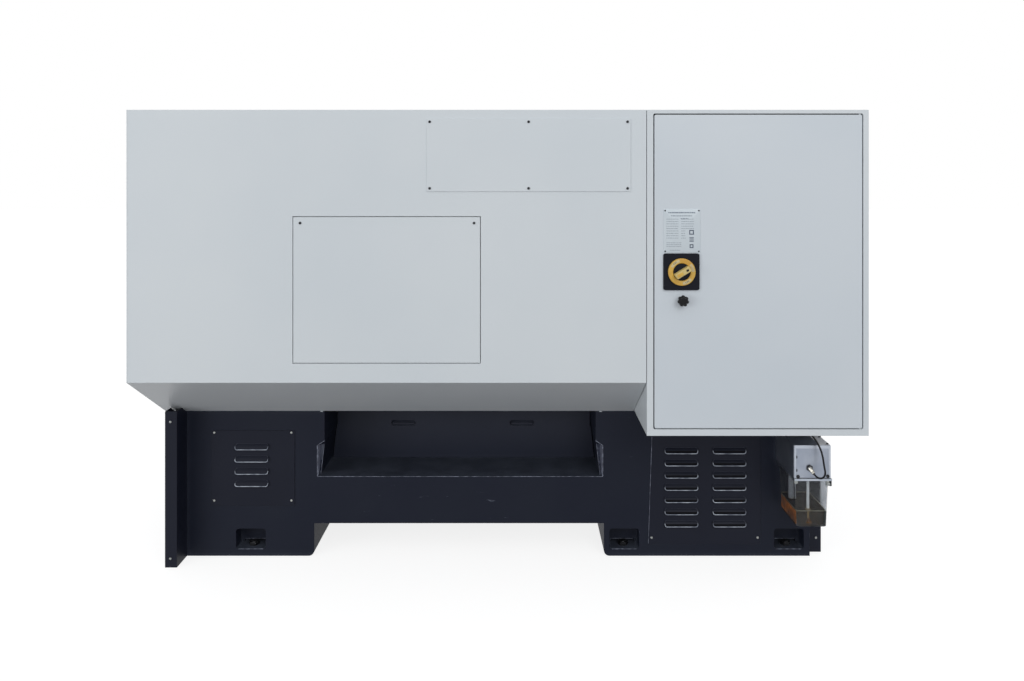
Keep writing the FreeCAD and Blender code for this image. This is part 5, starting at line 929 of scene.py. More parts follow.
# ---------------------------------------------------------------- sub-assemblies
@dataclass
class Studio:
    """Camera, floor, sky and lamps, in metres.

    Args:
        camera_at: The camera's place, level and looking along -Y.
        lens: Its lens, in millimetres.
        shift: The frame's shift, as shares of its width.
        floor_half: Half of the floor's side.
        sky: Strength of the sky's light on the object.
        aim: The point that the lamps face.
        lamps: For each soft lamp, its name, its place, its side and its power in watts.
    """

    camera_at: Point = (-0.068, 3.465, 1.478)
    lens: float = 27.1
    shift: Pair = (-0.0049, -0.1606)
    floor_half: float = 30.0
    sky: float = 0.93
    aim: Point = (0.0, 0.5, 0.9)
    lamps: tuple[tuple[str, Point, float, float], ...] = (
        ("high lamp", (-2.2, 6.4, 4.2), 3.6, 103.0),
        ("low fill", (7.5, 6.5, 1.4), 4.0, 226.0),
    )

    def build(self) -> None:
        """Builds the camera first, then the light and the floor."""
        self.camera()
        self.world()
        for lamp in self.lamps:
            self.lamp(*lamp)
        self.floor()
        bpy.context.scene.view_settings.view_transform = "Standard"

    def camera(self) -> None:
        """A level camera behind the machine, with the photograph's frame."""
        data = bpy.data.cameras.new("camera")
        data.lens, data.sensor_width = self.lens, 36.0
        data.shift_x, data.shift_y = self.shift
        data.clip_start, data.clip_end = 0.05, 200.0
        camera = linked(bpy.data.objects.new("camera", data))
        camera.location = self.camera_at
        camera.rotation_euler = (QUARTER, 0.0, math.pi)
        bpy.context.scene.camera = camera

    @staticmethod
    def seen(nodes: Nodes) -> bpy.types.NodeSocket:
        """Tells what looks at a thing from what lights it.

        Args:
            nodes: The tree's writer.

        Returns:
            1 for rays from the camera, a mirror or glass, and 0 for light on a surface.
        """
        path = nodes.add("ShaderNodeLightPath").outputs
        either = nodes.maths("MAXIMUM", path["Is Camera Ray"], path["Is Glossy Ray"])
        return nodes.maths("MAXIMUM", either, path["Is Transmission Ray"])

    def world(self) -> None:
        """A white sky to look at, and a dimmer one that lights."""
        world = bpy.data.worlds.new("sky")
        nodes = Nodes.emptied(world)
        light = nodes.plain("ShaderNodeBackground", (0.97, 0.985, 1.0), self.sky)
        white = nodes.plain("ShaderNodeBackground", (1.0, 1.0, 1.0), 1.0)
        nodes.surface(nodes.mixed(self.seen(nodes), light, white), "ShaderNodeOutputWorld")
        bpy.context.scene.world = world

    def lamp(self, name: str, at: Point, size: float, power: float) -> None:
        """One wide soft lamp behind the camera, aimed at the machine's middle.

        Args:
            name: Its name.
            at: Its place.
            size: Its side.
            power: Its power, in watts.
        """
        data = bpy.data.lights.new(name, "AREA")
        data.shape, data.size, data.energy = "SQUARE", size, power
        lamp = linked(bpy.data.objects.new(name, data))
        x, y, z = np.array(self.aim) - np.array(at)
        lamp.location = at
        lamp.rotation_euler = (math.atan2(math.hypot(x, y), -z), 0.0, math.atan2(y, x) - QUARTER)

    def floor(self) -> None:
        """A plain pale floor that keeps a soft shadow."""
        half = self.floor_half
        mesh = bpy.data.meshes.new("floor")
        corners = [(-half, -half, 0), (half, -half, 0), (half, half, 0), (-half, half, 0)]
        mesh.from_pydata(corners, [], [(0, 1, 2, 3)])
        made = bpy.data.materials.new("pale floor")
        nodes = Nodes.emptied(made)
        pale = nodes.plain("ShaderNodeBsdfDiffuse", (0.24, 0.24, 0.24))
        glow = nodes.plain("ShaderNodeEmission", (1.0, 1.0, 1.0), 0.83)
        looked_at = nodes.add("ShaderNodeAddShader", {0: pale, 1: glow}).outputs[0]
        grey = nodes.plain("ShaderNodeBsdfDiffuse", (0.27, 0.257, 0.257))
        nodes.surface(nodes.mixed(self.seen(nodes), grey, looked_at))
        mesh.materials.append(made)
        linked(bpy.data.objects.new("floor", mesh))


@dataclass
class LubricatorCable:
    """The lubricator's cable, from its connector up into the gland below the cabinet, in metres.

    Args:
        radius: Half of its thickness.
        length: Its real length between connector and gland.
        route: The points that its line follows.
    """

    radius: float = 0.00325
    length: float = 0.2147
    route: tuple[Point, ...] = (
        (-1.1395, 0.6810, 0.4035),
        (-1.1448, 0.6872, 0.3951),
        (-1.1540, 0.6979, 0.3915),
        (-1.1638, 0.7081, 0.3979),
        (-1.1704, 0.7125, 0.4143),
        (-1.1685, 0.7020, 0.4400),
        (-1.1665, 0.6970, 0.4680),
        (-1.1605, 0.6930, 0.4940),
        (-1.1495, 0.6900, 0.5170),
        (-1.1360, 0.6885, 0.5365),
        (-1.1275, 0.6880, 0.5485),
        (-1.1250, 0.6880, 0.5580),
    )

    def build(self) -> None:
        """Builds the cable as one smooth line with a round section."""
        line = bpy.data.curves.new("lubricator_cable", "CURVE")
        line.dimensions = "3D"
        spline = line.splines.new("NURBS")
        spline.points.add(len(self.route) - 1)
        spline.points.foreach_set("co", np.array([(*p, 1.0) for p in self.route], np.float32).reshape(-1))
        spline.order_u = 3
        spline.use_endpoint_u = True
        spline.resolution_u = 14
        line.bevel_depth = self.radius
        line.bevel_resolution = 5
        line.use_fill_caps = True
        line.materials.append(Palette.CORD.material())
        cable = linked(bpy.data.objects.new("lubricator_cable", line))
        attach(cable, "frame")
        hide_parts("lube_cable")
        LOG.info("cable: %.0f mm long", self.length / MM)


@dataclass
class SocketScrew:
    """A round-headed screw with a hexagon socket.

    Args:
        radius: The head's radius.
        proud: How far the head stands out.
        socket: Half of the socket's width across its flats.
        segments: Points round it.
    """

    radius: float = 4.7
    proud: float = 3.0
    socket: float = 1.9
    segments: int = 36

    def patch(self, seat: Point, direction: Point = BACK) -> Patch:
        """One head: a quarter-round rim up to a flat, and a socket cut into it.

        Args:
            seat: Where the head's underside meets the sheet.
            direction: Which way the head faces.

        Returns:
            The closed head.
        """
        flat = self.radius * 0.55
        rim = rolled(self.proud * 0.25, flat, self.proud * 0.75, self.radius - flat)
        hole = [(self.proud, self.socket * 1.12), (self.proud * 0.3, self.socket), (self.proud * 0.2, 0.0)]
        profile = [(0.0, 0.0), (0.0, self.radius), *rim, *hole]
        shaped = [0.0] * (len(profile) - len(hole)) + [1.0, 1.0, 0.0]
        outline = polygon_factor(6, self.segments)
        return turned(profile, seat, direction, self.segments, 0, outline, shaped)


@dataclass
class CoverScrews:
    """All the screws that hold the covers and panels.

    Args:
        screw: The screw that they share.
        groups: For each face along Y, the places of its screws along X and Z.
        white_face: Faces beyond this are the white panels', which have darkened screws.
    """

    screw: SocketScrew = field(default_factory=SocketScrew)
    white_face: float = 760.0
    groups: tuple[tuple[float, tuple[Pair, ...]], ...] = (
        (468, ((-1003, 73), (-591, 73), (809, 217), (809, 481), (1109, 217), (1109, 481))),
        (555, ((1240.5, 34), (1240.5, 550))),
        (433, ((-1243, 56),)),
        (765, ((82.5, 1313.5), (692, 1313.5))),
        (767, ((-455, 1435), (-455, 1668), (-108.5, 1435), (-108.5, 1668), (238, 1435), (238, 1668))),
    )

    def heads(self, on_white: bool) -> list[Patch]:
        """The heads on the white panels, or those on everything else."""
        chosen = [(face, places) for face, places in self.groups if (face > self.white_face) == on_white]
        return [self.screw.patch((x, face, z)) for face, places in chosen for x, z in places]

    def build(self) -> None:
        """Builds every head in place of the plain ones."""
        piece = mesh_piece("socket_screws", self.heads(False), [Palette.ZINC], "frame")
        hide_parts("cover_screws")
        mesh_piece("panel_screws", self.heads(True), [Palette.HARD], "frame")


@dataclass
class Nameplate:
    """A blank plate with ruled fields and four rivets.

    Args:
        low: Its lower corner at its smaller X, which is at the right as seen from the rear.
        high: Its upper corner at its larger X.
        rivet: The rivets' radius.
        inset: From the plate's edges to the rivets.
        rule: Height of a small dash.
        words: The dashes' lengths, taken in turn.
        space: Between two dashes.
        headings: For each larger row, its distance to the right and down, its width and its dashes' height.
        boxes: For each empty box, its middle's distance down, its side and its line's width.
        column: Distance to the right of the boxes' middle.
    """

    low: Point = (-710.3, 765.0, 1208.9)
    high: Point = (-581.1, 766.1, 1362.5)
    rivet: float = 2.9
    inset: float = 5.6
    rule: float = 1.5
    words: tuple[float, ...] = (7.0, 4.5, 9.0, 3.5, 6.0, 8.0, 5.0)
    space: float = 1.5
    headings: tuple[tuple[float, ...], ...] = (
        (16, 10.5, 96, 4.2),
        (26, 22.5, 74, 2.6),
        (60, 32.5, 26, 2.4),
    )
    boxes: tuple[Point, ...] = ((81.5, 16.5, 3.6), (130.0, 13.5, 3.4))
    column: float = 98.0

    def bar(self, x: float, z: float, wide: float, high: float, finish: int = 1) -> Patch:
        """A thin printed bar, placed from the plate's upper left corner as seen from the rear.

        Args:
            x: Distance to the right.
            z: Distance down.
            wide: Its width.
            high: Its height.
            finish: Which of the piece's finishes it takes.

        Returns:
            A thin raised strip.
        """
        left, face, top = self.high[0] - x, self.high[1], self.high[2] - z
        low = (left - wide, face - 0.05, top - high)
        return soft_block(low, (left, face + 0.12, top), 0.2, 0.05, finish, 2)

    def dashes(self, x: float, z: float, wide: float, high: float) -> list[Patch]:
        """A row of printed dashes of changing length, as a filled-in line looks from afar.

        Args:
            x: Distance to the right.
            z: Distance down.
            wide: The row's width.
            high: The dashes' height.

        Returns:
            One strip for each dash.
        """
        strips: list[Patch] = []
        start, turn = 0.0, round(z)
        while start < wide - self.space:
            long = min(self.words[(turn + len(strips)) % len(self.words)], wide - start)
            strips.append(self.bar(x + start, z, long, high))
            start += long + self.space
        return strips

    def fields(self) -> list[Patch]:
        """The headings, two columns of nine small rows, and four rows at the foot."""
        rows = [*self.headings]
        for row in range(9):
            down = 34.5 + row * 8.3
            rows += [(10, down, 42, self.rule), (62, down, 44 if row < 5 else 16, self.rule)]
        rows += [(10, 117.5 + row * 6.2, 55, self.rule) for row in range(3)]
        rows.append((22, 143.5, 36, self.rule))
        return [dash for row in rows for dash in self.dashes(*row)]

    def frames(self) -> list[Patch]:
        """Two empty ruled boxes and a lined field between them, down the right side."""
        shapes = [self.bar(90.5, 98.5 + row * 4.6, 15.5, 2.4, 3) for row in range(4)]
        for middle, side, line in self.boxes:
            left, top, far, tall = self.column - side / 2, middle - side / 2, side - line, side - 2 * line
            shapes += [self.bar(left, top + down, side, line, 3) for down in (0.0, far)]
            shapes += [self.bar(left + along, top + line, line, tall, 3) for along in (0.0, far)]
        return shapes

    def build(self) -> None:
        """Builds the plate, its ruled fields and its rivets."""
        (x0, _, z0), (x1, face, z1) = self.low, self.high
        dome = [(0.0, 0.0), *rolled(0.0, 0.0, 1.3, self.rivet, 6)]
        rivets = [
            turned(dome, (x, face, z), segments=24, finish=2)
            for x in (x0 + self.inset, x1 - self.inset)
            for z in (z0 + self.inset, z1 - self.inset)
        ]
        patches = [soft_block(self.low, self.high, 3, 0.35), *self.fields(), *self.frames(), *rivets]
        finishes = [Palette.PLATE, Palette.PRINT, Palette.HARD, Palette.MARK_PRINT]
        mesh_piece("nameplate", patches, finishes, "cabinet_door")


@dataclass
class MainSwitch:
    """The rotary main switch: its well, ring, turning handle and small words.

    Args:
        centre: The switch's axis, on the door's face.
        tilt: The handle's tilt at rest, in degrees.
        ring_outer: The ring's outer radius.
        ring_inner: The ring's inner radius.
        ring_face: Height of the ring's face over the door.
        bar: The handle's length and width.
        bands: For each pale band, its middle and half of its sweep, in degrees above level at the right.
    """

    centre: Point = field(default_factory=lambda: middle_of("switch_ring", rear_of("cabinet_door")))
    tilt: float = 31.6
    ring_outer: float = 47.6
    ring_inner: float = 30.5
    ring_face: float = 14.0
    bar: Pair = (58.0, 19.0)
    bands: tuple[Pair, ...] = ((128.0, 26.0), (22.0, 20.0), (-62.0, 24.0))

    def build(self) -> None:
        """Builds well, ring, words and handle in place of the plain ones."""
        well = turned(washer(5.9, 6.35, 49.0, 50.5), self.centre, segments=72)
        mesh_piece("switch_well", [well], [Palette.BLACK], "cabinet_door")
        inner, outer, top, roll = self.ring_inner, self.ring_outer, self.ring_face, 1.5
        section = [(6.0, inner), (6.0, outer), *rolled(top - roll, outer - roll, roll, roll)]
        section += [*rolled(top - roll, inner + roll, roll, -roll)[::-1], (6.0, inner)]
        ring = turned(section, self.centre, segments=96)
        piece = mesh_piece("switch_collar", [ring], [Palette.YELLOW], "cabinet_door")
        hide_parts("switch_ring")
        self.words()
        self.handle()

    def words(self) -> None:
        """ON and OFF, and pale bands under and beside them, on the ring's face."""
        radius, face = (self.ring_inner + self.ring_outer) / 2, self.centre[1] + self.ring_face
        bands = []
        for middle, sweep in self.bands:
            angle = np.radians(np.linspace(middle - sweep, middle + sweep, 20))[:, None]
            reach = radius + np.array([-5.2, -4.6, 4.6, 5.2, 4.6, -4.6])[None, :]
            lift = np.broadcast_to([0.0, 0.1, 0.1, 0.0, -0.2, -0.2], (len(angle), 6))
            x, z = self.centre[0] - reach * np.cos(angle), self.centre[2] + reach * np.sin(angle)
            bands.append(capped(np.stack([x, face + lift, z], -1)))
        mesh_piece("switch_bands", bands, [Palette.PALE_PRINT], "cabinet_door")
        self.word("OFF", self.bands[0][0], radius, face + 0.12)
        self.word("ON", self.bands[2][0], radius, face + 0.12)

    def word(self, text: str, angle: float, radius: float, face: float) -> None:
        """One word as a mesh, flat on the ring, upright to its own radius.

        Args:
            text: The word.
            angle: Its place round the ring, in degrees above level at the right, seen from the rear.
            radius: Distance from the axis.
            face: The height along Y that it lies at.
        """
        curve = bpy.data.curves.new(f"word_{text}", "FONT")
        curve.body, curve.size, curve.extrude = text, 9.0, 0.06
        curve.align_x, curve.align_y = "CENTER", "CENTER"
        carrier = linked(bpy.data.objects.new(f"word_{text}", curve))
        bpy.context.view_layer.update()
        worked_out = carrier.evaluated_get(bpy.context.evaluated_depsgraph_get())
        mesh = bpy.data.meshes.new_from_object(worked_out)
        bpy.data.objects.remove(carrier)
        flat = np.empty(len(mesh.vertices) * 3, np.float32)
        mesh.vertices.foreach_get("co", flat)
        across, along, thick = flat.reshape(-1, 3).astype(float).T
        turn, lean = math.radians(angle), math.radians(angle - 90 if angle > 0 else angle + 90)
        right = across * math.cos(lean) - along * math.sin(lean) + radius * math.cos(turn)
        up = across * math.sin(lean) + along * math.cos(lean) + radius * math.sin(turn)
        placed = np.stack([self.centre[0] - right, face + thick, self.centre[2] + up], -1) * MM
        mesh.vertices.foreach_set("co", placed.astype(np.float32).reshape(-1))
        mesh.materials.clear()
        mesh.materials.append(Palette.DARK_PRINT.material())
        mesh.update()
        piece = linked(bpy.data.objects.new(f"switch_word_{text}", mesh))
        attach(piece, "cabinet_door")

    def handle(self) -> None:
        """The hub's dark disc and the pale bar across it, with its inlay and lock hole."""
        x, y, z = self.centre
        half, side = self.bar[0] / 2, self.bar[1] / 2
        hub = turned([(6.3, 0), (6.3, 30), *rolled(10, 28, 2, 2), (12, 0)], self.centre, segments=72)
        blocks = [
            soft_block((x - half, y + 11, z - side), (x + half, y + 38.5, z + side), 3.2, 2.2, 1),
            soft_block((x + 1, y + 38.2, z - 5.6), (x + 24, y + 39, z + 5.6), 1.6, 0.15, 2),
            soft_block((x - 22, y + 38.2, z - 3.6), (x - 12, y + 39, z + 3.6), 3.4, 0.15),
        ]
        parts = [hub, *(turned_about(block, self.centre, self.tilt) for block in blocks)]
        finishes = [Palette.BLACK, Palette.GOLD, Palette.YELLOW]
        piece = mesh_piece("switch_grip", parts, finishes, "switch_handle")
        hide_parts("switch_handle")


@dataclass
class StarKnob:
    """The door's star knob with its collar, stem and latch tongue.

    Args:
        centre: Its axis, on the door's face.
        lobes: How many lobes.
        depth: How deep the outline dips between two lobes, as a share of the radius.
        crown: The knob's profile: height, radius, and how far that row follows the lobes.
    """

    centre: Point = (-645.5, 765.0, 1044.0)
    lobes: int = 7
    depth: float = 0.17
    crown: tuple[Point, ...] = (
        (16, 0, 0), (16, 13, 0.8), (16.6, 17.6, 1), (18, 19.6, 1), (20.5, 20, 1),
        (26, 19.8, 1), (28.4, 18.9, 1), (30, 17, 0.95), (31, 14, 0.7), (31.6, 10.5, 0.25),
        (31.2, 9.6, 0), (31.2, 8.8, 0), (31.9, 8, 0), (32, 0, 0),
    )

    def build(self) -> None:
        """Builds the knob: lobes that fade towards its crown, where the outline turns round.

        At angle t the lobed outline is 1 - depth * ((1 - cos(lobes * t)) / 2) ** 1.6.
        """
        x, y, z = self.centre
        segments = 20 * self.lobes
        angle = np.linspace(0, FULL_TURN, segments, endpoint=False) - QUARTER
        outline = 1 - self.depth * ((1 - np.cos(self.lobes * angle)) / 2) ** 1.6
        profile, shaped = [row[:2] for row in self.crown], [row[2] for row in self.crown]
        collar = [(0, 0), (0, 11), (1.5, 11), (4, 9.4), (16.2, 9), (16.2, 0)]
        parts = [
            turned(profile, self.centre, BACK, segments, 0, outline, shaped),
            turned(collar, self.centre, segments=40),
            turned(rod(-33.8, 0.2, 6.9), self.centre, segments=32, finish=1),
            soft_block((x - 10, y - 34, z - 112), (x + 10, y - 29.5, z + 10), 6, 0.6, 1),
        ]
        finishes = [Palette.GLOSS_BLACK, Palette.ZINC]
        piece = mesh_piece("star_knob", parts, finishes, "door_knob")
        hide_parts("door_knob")


@dataclass
class Lubricator:
    """The lubricator: milled housing, clear tank's oil, tubes, strainer, clamps and cable connector.

    Args:
        tank: The tank's box, whose sides are its rim's.
        case: The housing's box, with its flange.
        flange: How far the flange stands out at the right and at the rear.
        bottom: From the tank's foot up to the oil.
        filled: The oil's depth.
        taper: How far each side is drawn in at the foot.
        inset: The wall's thickness and a small gap.
        corner: Radius of the tank's inner corners.
        suction: The suction tube's axis.
        back: The return hose's axis.
        socket: Where the connector's axis meets the front plate.
        elbow: Where the connector turns.
        tip: Where the connector ends and the cable starts.
    """

    tank: tuple[Point, Point] = field(default_factory=lambda: node_box("lube_tank"))
    case: tuple[Point, Point] = field(default_factory=lambda: node_box("lube_housing"))
    flange: float = 4.0
    bottom: float = 3.4
    filled: float = 51.6
    taper: float = 6.5
    inset: float = 3.15
    corner: float = 11.0
    suction: Pair = (-1138.5, 627.0)
    back: Pair = (-1112.0, 535.0)
    socket: Point = (-1131.0, 665.0, 417.0)
    elbow: Point = (-1131.0, 671.0, 417.0)
    tip: Point = (-1139.5, 681.0, 403.5)

    def ring(self, z: float, extra: float) -> np.ndarray:
        """The tank's inner outline at a height: each side drawn in by taper * (top - z) / (top - foot).

        Args:
            z: The height.
            extra: How much further in it lies.

        Returns:
            The outline's points.
        """
        (x0, y0, foot), (x1, y1, top) = self.tank
        drawn = self.taper * (top - z) / (top - foot)
        inside = self.inset + extra
        x0, x1 = x0 + drawn + inside, x1 - drawn - inside
        y0, y1 = y0 + drawn + inside, y1 - drawn * 0.4 - inside
        flat = rounded_rectangle((x1 - x0) / 2, (y1 - y0) / 2, max(self.corner - extra, 1), 7)
        return np.insert(flat + ((x0 + x1) / 2, (y0 + y1) / 2), 2, z, axis=1)

    @property
    def oil_foot(self) -> float:
        """Height of the oil's underside."""
        return self.tank[0][2] + self.bottom

    @property
    def oil_level(self) -> float:
        """Height of the oil's surface."""
        return self.oil_foot + self.filled

    def build(self) -> None:
        """Builds the housing, then the tank's contents, then the small fittings."""
        self.housing()
        self.oil()
        self.tubes()
        self.fasteners()
        self.connector()

    def housing(self) -> None:
        """The milled block, its framed front plate and the flange that closes the tank, with a painted
        highlight on one end of its top.
        """
        (x0, y0, z0), (x1, y1, z1) = self.case
        x0, y1 = x0 + self.flange, y1 - self.flange
        blocks = [
            soft_block((x0, y0, z0), (x1, y1 - 7, z1 - 1.2), 2.5, 0.8),
            # this lid plate at the top's smaller-X end is painted near white, a painted highlight
            soft_block((x0 + 0.6, y0 + 0.6, z1 - 1.4), (x0 + 38, y1 - 7, z1), 2, 0.5, 3),
            soft_block((x0 + 0.4, y1 - 6.4, z0 + 5), (x1 - 0.4, y1 - 1.2, z1 - 0.4), 3, 0.8),
            soft_block((x0 + 0.2, y1 - 4, z1 - 12.5), (x1 - 0.2, y1, z1 - 0.2), 2.4, 0.7, 1),
            soft_block((x0 + 0.2, y1 - 4, z0 + 6.5), (x0 + 7.5, y1 - 0.3, z1 - 11), 1, 0.6, 1),
            soft_block((x1 - 7.5, y1 - 4, z0 + 6.5), (x1 - 0.2, y1 - 0.3, z1 - 11), 1, 0.6, 1),
            soft_block((x0 + 14, y1 - 4, z0 + 11), (x1 - 14, y1 - 0.4, z0 + 15), 1, 0.6),
            soft_block((x0 - 3.9, y0 + 6, z0), (x1 + 0.2, y1 + 2.9, z0 + 7.5), 1.6, 0.9, 1),
            soft_block((x0 - 2.4, y0 + 8, z0 + 7.2), (x1 - 0.6, y1 + 1.2, z0 + 8.6), 0.5, 0.3, 2),
        ]
        finishes = [Palette.ALUMINIUM, Palette.BRIGHT_EDGE, Palette.HARD, Palette.PAINTED_BRIGHT_TOP]
        piece = mesh_piece("lubricator_housing", blocks, finishes, "frame")
        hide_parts("lube_housing")

    def oil(self) -> None:
        """The oil, a closed body inside the tank's wall; a painted glow of caught light at its side,
        painted shade at its front corner, and the pale line of painted highlight where it meets the wall.
        """
        rows = [self.ring(z, 1) for z in np.linspace(self.oil_foot, self.oil_level, 8)]
        oil = capped([self.ring(self.oil_foot, 3), *rows, self.ring(self.oil_level - 0.6, 4)])
        mesh_piece("tank_oil", [oil], [Palette.OIL], "frame")
        # thin strips at the oil's side carry the painted glow of light caught in it
        outlines = []
        for z in (self.oil_foot + 2, self.oil_level - 1.5):
            x = self.ring(z, 0.4)[:, 0].max()
            outlines.append([(x, 497, z), (x, 648, z), (x + 0.35, 648, z), (x + 0.35, 497, z)])
        # a thin skin at the tank's front corner carries painted shade
        corner = capped([self.painted_shade_arc(z) for z in (self.tank[0][2] + 3, self.oil_level)], 1)
        finishes = [Palette.OIL_GLOW, Palette.OIL_CORNER_SHADE]
        mesh_piece("oil_glow", [capped(outlines), corner], finishes, "frame", 50)
        # the pale bead at the oil line is a painted highlight
        line = bead(self.ring(self.oil_level + 0.8, 1.2), 1.1, UP, True)
        mesh_piece("oil_line", [line], [Palette.OIL_RIM], "frame")

    def painted_shade_arc(self, z: float) -> np.ndarray:
        """The tank's front corner at a height, just inside its outer face, as a thin closed outline that
        carries painted shade.
        """
        outer, inner = (self.ring(z, extra)[7:12] for extra in (-2.95, -2.5))
        return np.concatenate([outer, inner[::-1]])

    def tubes(self) -> None:
        """The suction tube with its collar, the wide return tube, and the strainer's gauze cone."""
        x, y = self.suction
        foot, top = self.oil_level - 8, self.tank[1][2] + 4
        long, stem_foot, hose_foot = top - foot, 221, 253
        bell = [(0, 0), (0, 10.4), (1.2, 10.6), (2.4, 9.6), (4.2, 6.4), (8, 5), (long, 4.7), (long, 0)]
        suction = turned(bell, (x, y, foot), UP, 32)
        stem = turned(rod(0, foot - stem_foot, 3.4), (x, y, stem_foot), UP, 20)
        tubes = mesh_piece("oil_tubes", [suction, stem], [Palette.WHITE_TUBE], "frame")
        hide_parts("lube_tubes")
        hose = turned(washer(0, top - hose_foot, 8.4, 10.2), (*self.back, hose_foot), UP)
        mesh_piece("return_hose", [hose], [Palette.TRANSLUCENT], "frame")
        cone = [(0, 0), (0, 10.6), (1.6, 11.2), (3.2, 10.2), (4.6, 6.6), (6, 4.6)]
        cone += [(12, 4.2), (13.6, 5.2), (15.6, 5.2), (16.6, 3.8), (16.6, 0)]
        strainer = turned(cone, (x - 2, y, self.oil_foot + 0.8), UP)
        mesh_piece("oil_strainer", [strainer], [Palette.STRAINER], "frame")

    def fasteners(self) -> None:
        """Cap screws on plate and top, the clamps on the flange, and the plugs in the left edge."""
        face, top = self.case[1][1] - self.flange, self.case[1][2]
        cap, small = SocketScrew(6.2, 4.0, 2.4), SocketScrew(4.6, 4.0, 2.0)
        screws = [cap.patch((x, face - 1.4, z)) for x, z in ((-1089.3, 386), (-1197.5, 387))]
        screws += [small.patch((-1200.5, y, top - 0.5), UP) for y in (578, 652)]
        for z in (456.5, 408.5):
            screws.append(soft_block((-1086.2, face - 2, z - 5), (-1083, face + 0.5, z + 5), 1.5, 0.3))
        mesh_piece("lubricator_screws", screws, [Palette.HARD], "frame")
        clamps = [
            SocketScrew(4.8, 3.4, 1.7, 24).patch((-1082.8, 662.2, 365.5)),
            SocketScrew(6.0, 4.6, 2.0, 24).patch((-1200.3, 662.2, 358.5)),
            soft_block((-1211.8, 648, 351), (-1203, 664, 371.2), 2, 0.8, 1),
            soft_block((-1089, 654, 359), (-1076.5, 662.5, 371.2), 2, 0.8),
            soft_block((-1207.5, 654, 351), (-1193.5, 662.5, 371.2), 2, 0.8),
        ]
        mesh_piece("tank_clamps", clamps, [Palette.ZINC, Palette.HARD], "frame")

    def connector(self) -> None:
        """The angled connector: dark nut on the plate, elbow and ribbed nickel sleeve towards the cable."""
        x, y, z = self.socket
        along = np.array(self.tip) - np.array(self.elbow)
        long = float(np.linalg.norm(along))
        facets = [(0, 0), (0, 11), (2.4, 11), (3.6, 9.6), (3.6, 0)]
        stub = [(0, 0), (0, 8), (6.5, 8), (9.5, 6.4), (11, 3), (11, 0)]
        ribs = [(-4, 0), (-4, 6.2), (0.5, 7.4), (3.4, 7.4), (3.9, 6.6), (5, 6.6), (5.5, 7.4), (11.5, 7.4)]
        ribs += [(12.2, 6.4), (13.4, 6.4), (14.2, 7), (long - 1.6, 6.6), (long - 0.2, 5.2), (long - 0.2, 0)]
        relief = [(-0.6, 0), (-0.6, 5), (1.6, 4.8), (5.5, 3.9), (5.5, 0)]
        parts = [
            turned(facets, (x, y - 0.2, z), BACK, 36, 1, polygon_factor(6, 36), [0, 1, 1, 1, 0]),
            turned(stub, self.socket),
            turned(ribs, self.elbow, along),
            turned(relief, self.tip, along, 28, 1),
        ]
        piece = mesh_piece("cable_connector", parts, [Palette.NICKEL, Palette.HARD], "frame")
        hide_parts("lube_connector")


@dataclass
class LouvreLips:
    """Worn lips with painted highlights, and throats in painted shade, of the pressed louvres.

    Args:
        face: The covers' rear face.
        columns: For each column of louvres, its middle, its top slot, how many, and its throat's height.
        pitch: From one slot down to the next.
        half: Half of a louvre's length.
        hood: The pressed hood's radius.
        sunk: Its axis behind the sheet.
        high: From the slot to the hood's upper edge.
    """

    face: float = 468.0
    columns: tuple[tuple[float, float, int, float], ...] = (
        (-705.5, 402, 7, 10),
        (-892, 402, 7, 10),
        (962, 417, 4, 0),
    )
    pitch: float = 47.3
    half: float = 64.5
    hood: float = 25.0
    sunk: float = 15.0
    high: float = 20.5

    def surface(self, rise: np.ndarray) -> np.ndarray:
        """The hood's height along Y: face - sunk + sqrt(hood squared - rise squared)."""
        bounded = np.clip(rise, 0.0, self.high)
        return self.face - self.sunk + np.sqrt(self.hood**2 - bounded**2)

    def louvre(self, x: float, z: float, throat: float) -> list[Patch]:
        """One louvre's lower lip, bright with wear and a painted highlight, its faint upper line with a
        fainter painted highlight, and its throat in painted shade.

        Args:
            x: Its middle.
            z: Its slot.
            throat: The height of the part in painted shade, or 0 where light reaches in.

        Returns:
            The surfaces.
        """
        steps = 6
        flat = rounded_rectangle(self.half - 0.8, self.high / 2, 8.5, steps)
        rise = flat[:, 1] + self.high / 2
        path = np.column_stack([flat[:, 0] + x, self.surface(rise) + 0.2, rise + z])
        order = np.arange(2 * steps - 1, 4 * steps + 1) % (4 * steps)
        low = np.sin(np.linspace(0, math.pi, len(order))) ** 0.5
        # the lower bead carries wear and a painted highlight, the upper bead a fainter painted highlight
        lips = [bead(path[order], 0.75 + 0.85 * low, BACK), bead(path[: 2 * steps], 0.55, BACK, finish=1)]
        # a near-black skin laid in the throat is painted shade
        if throat:
            across = np.linspace(1.8, throat, 6)
            outer, inner = (np.stack([self.surface(across) + y, across + z], -1) for y in (0.25, -0.5))
            section, reach = np.concatenate([outer, inner[::-1]]), self.half - 4
            lips.append(capped([np.insert(section, 0, x + side, axis=1) for side in (-reach, reach)], 2))
        return lips

    def build(self) -> None:
        """Builds every louvre's lips with their painted highlights, and the throats in painted shade."""
        patches = [
            patch
            for x, top, count, throat in self.columns
            for row in range(count)
            for patch in self.louvre(x, top - row * self.pitch, throat)
        ]
        finishes = [Palette.LIP, Palette.FAINT_LIP, Palette.SHADE]
        mesh_piece("louvre_lips", patches, finishes, "frame", 50)


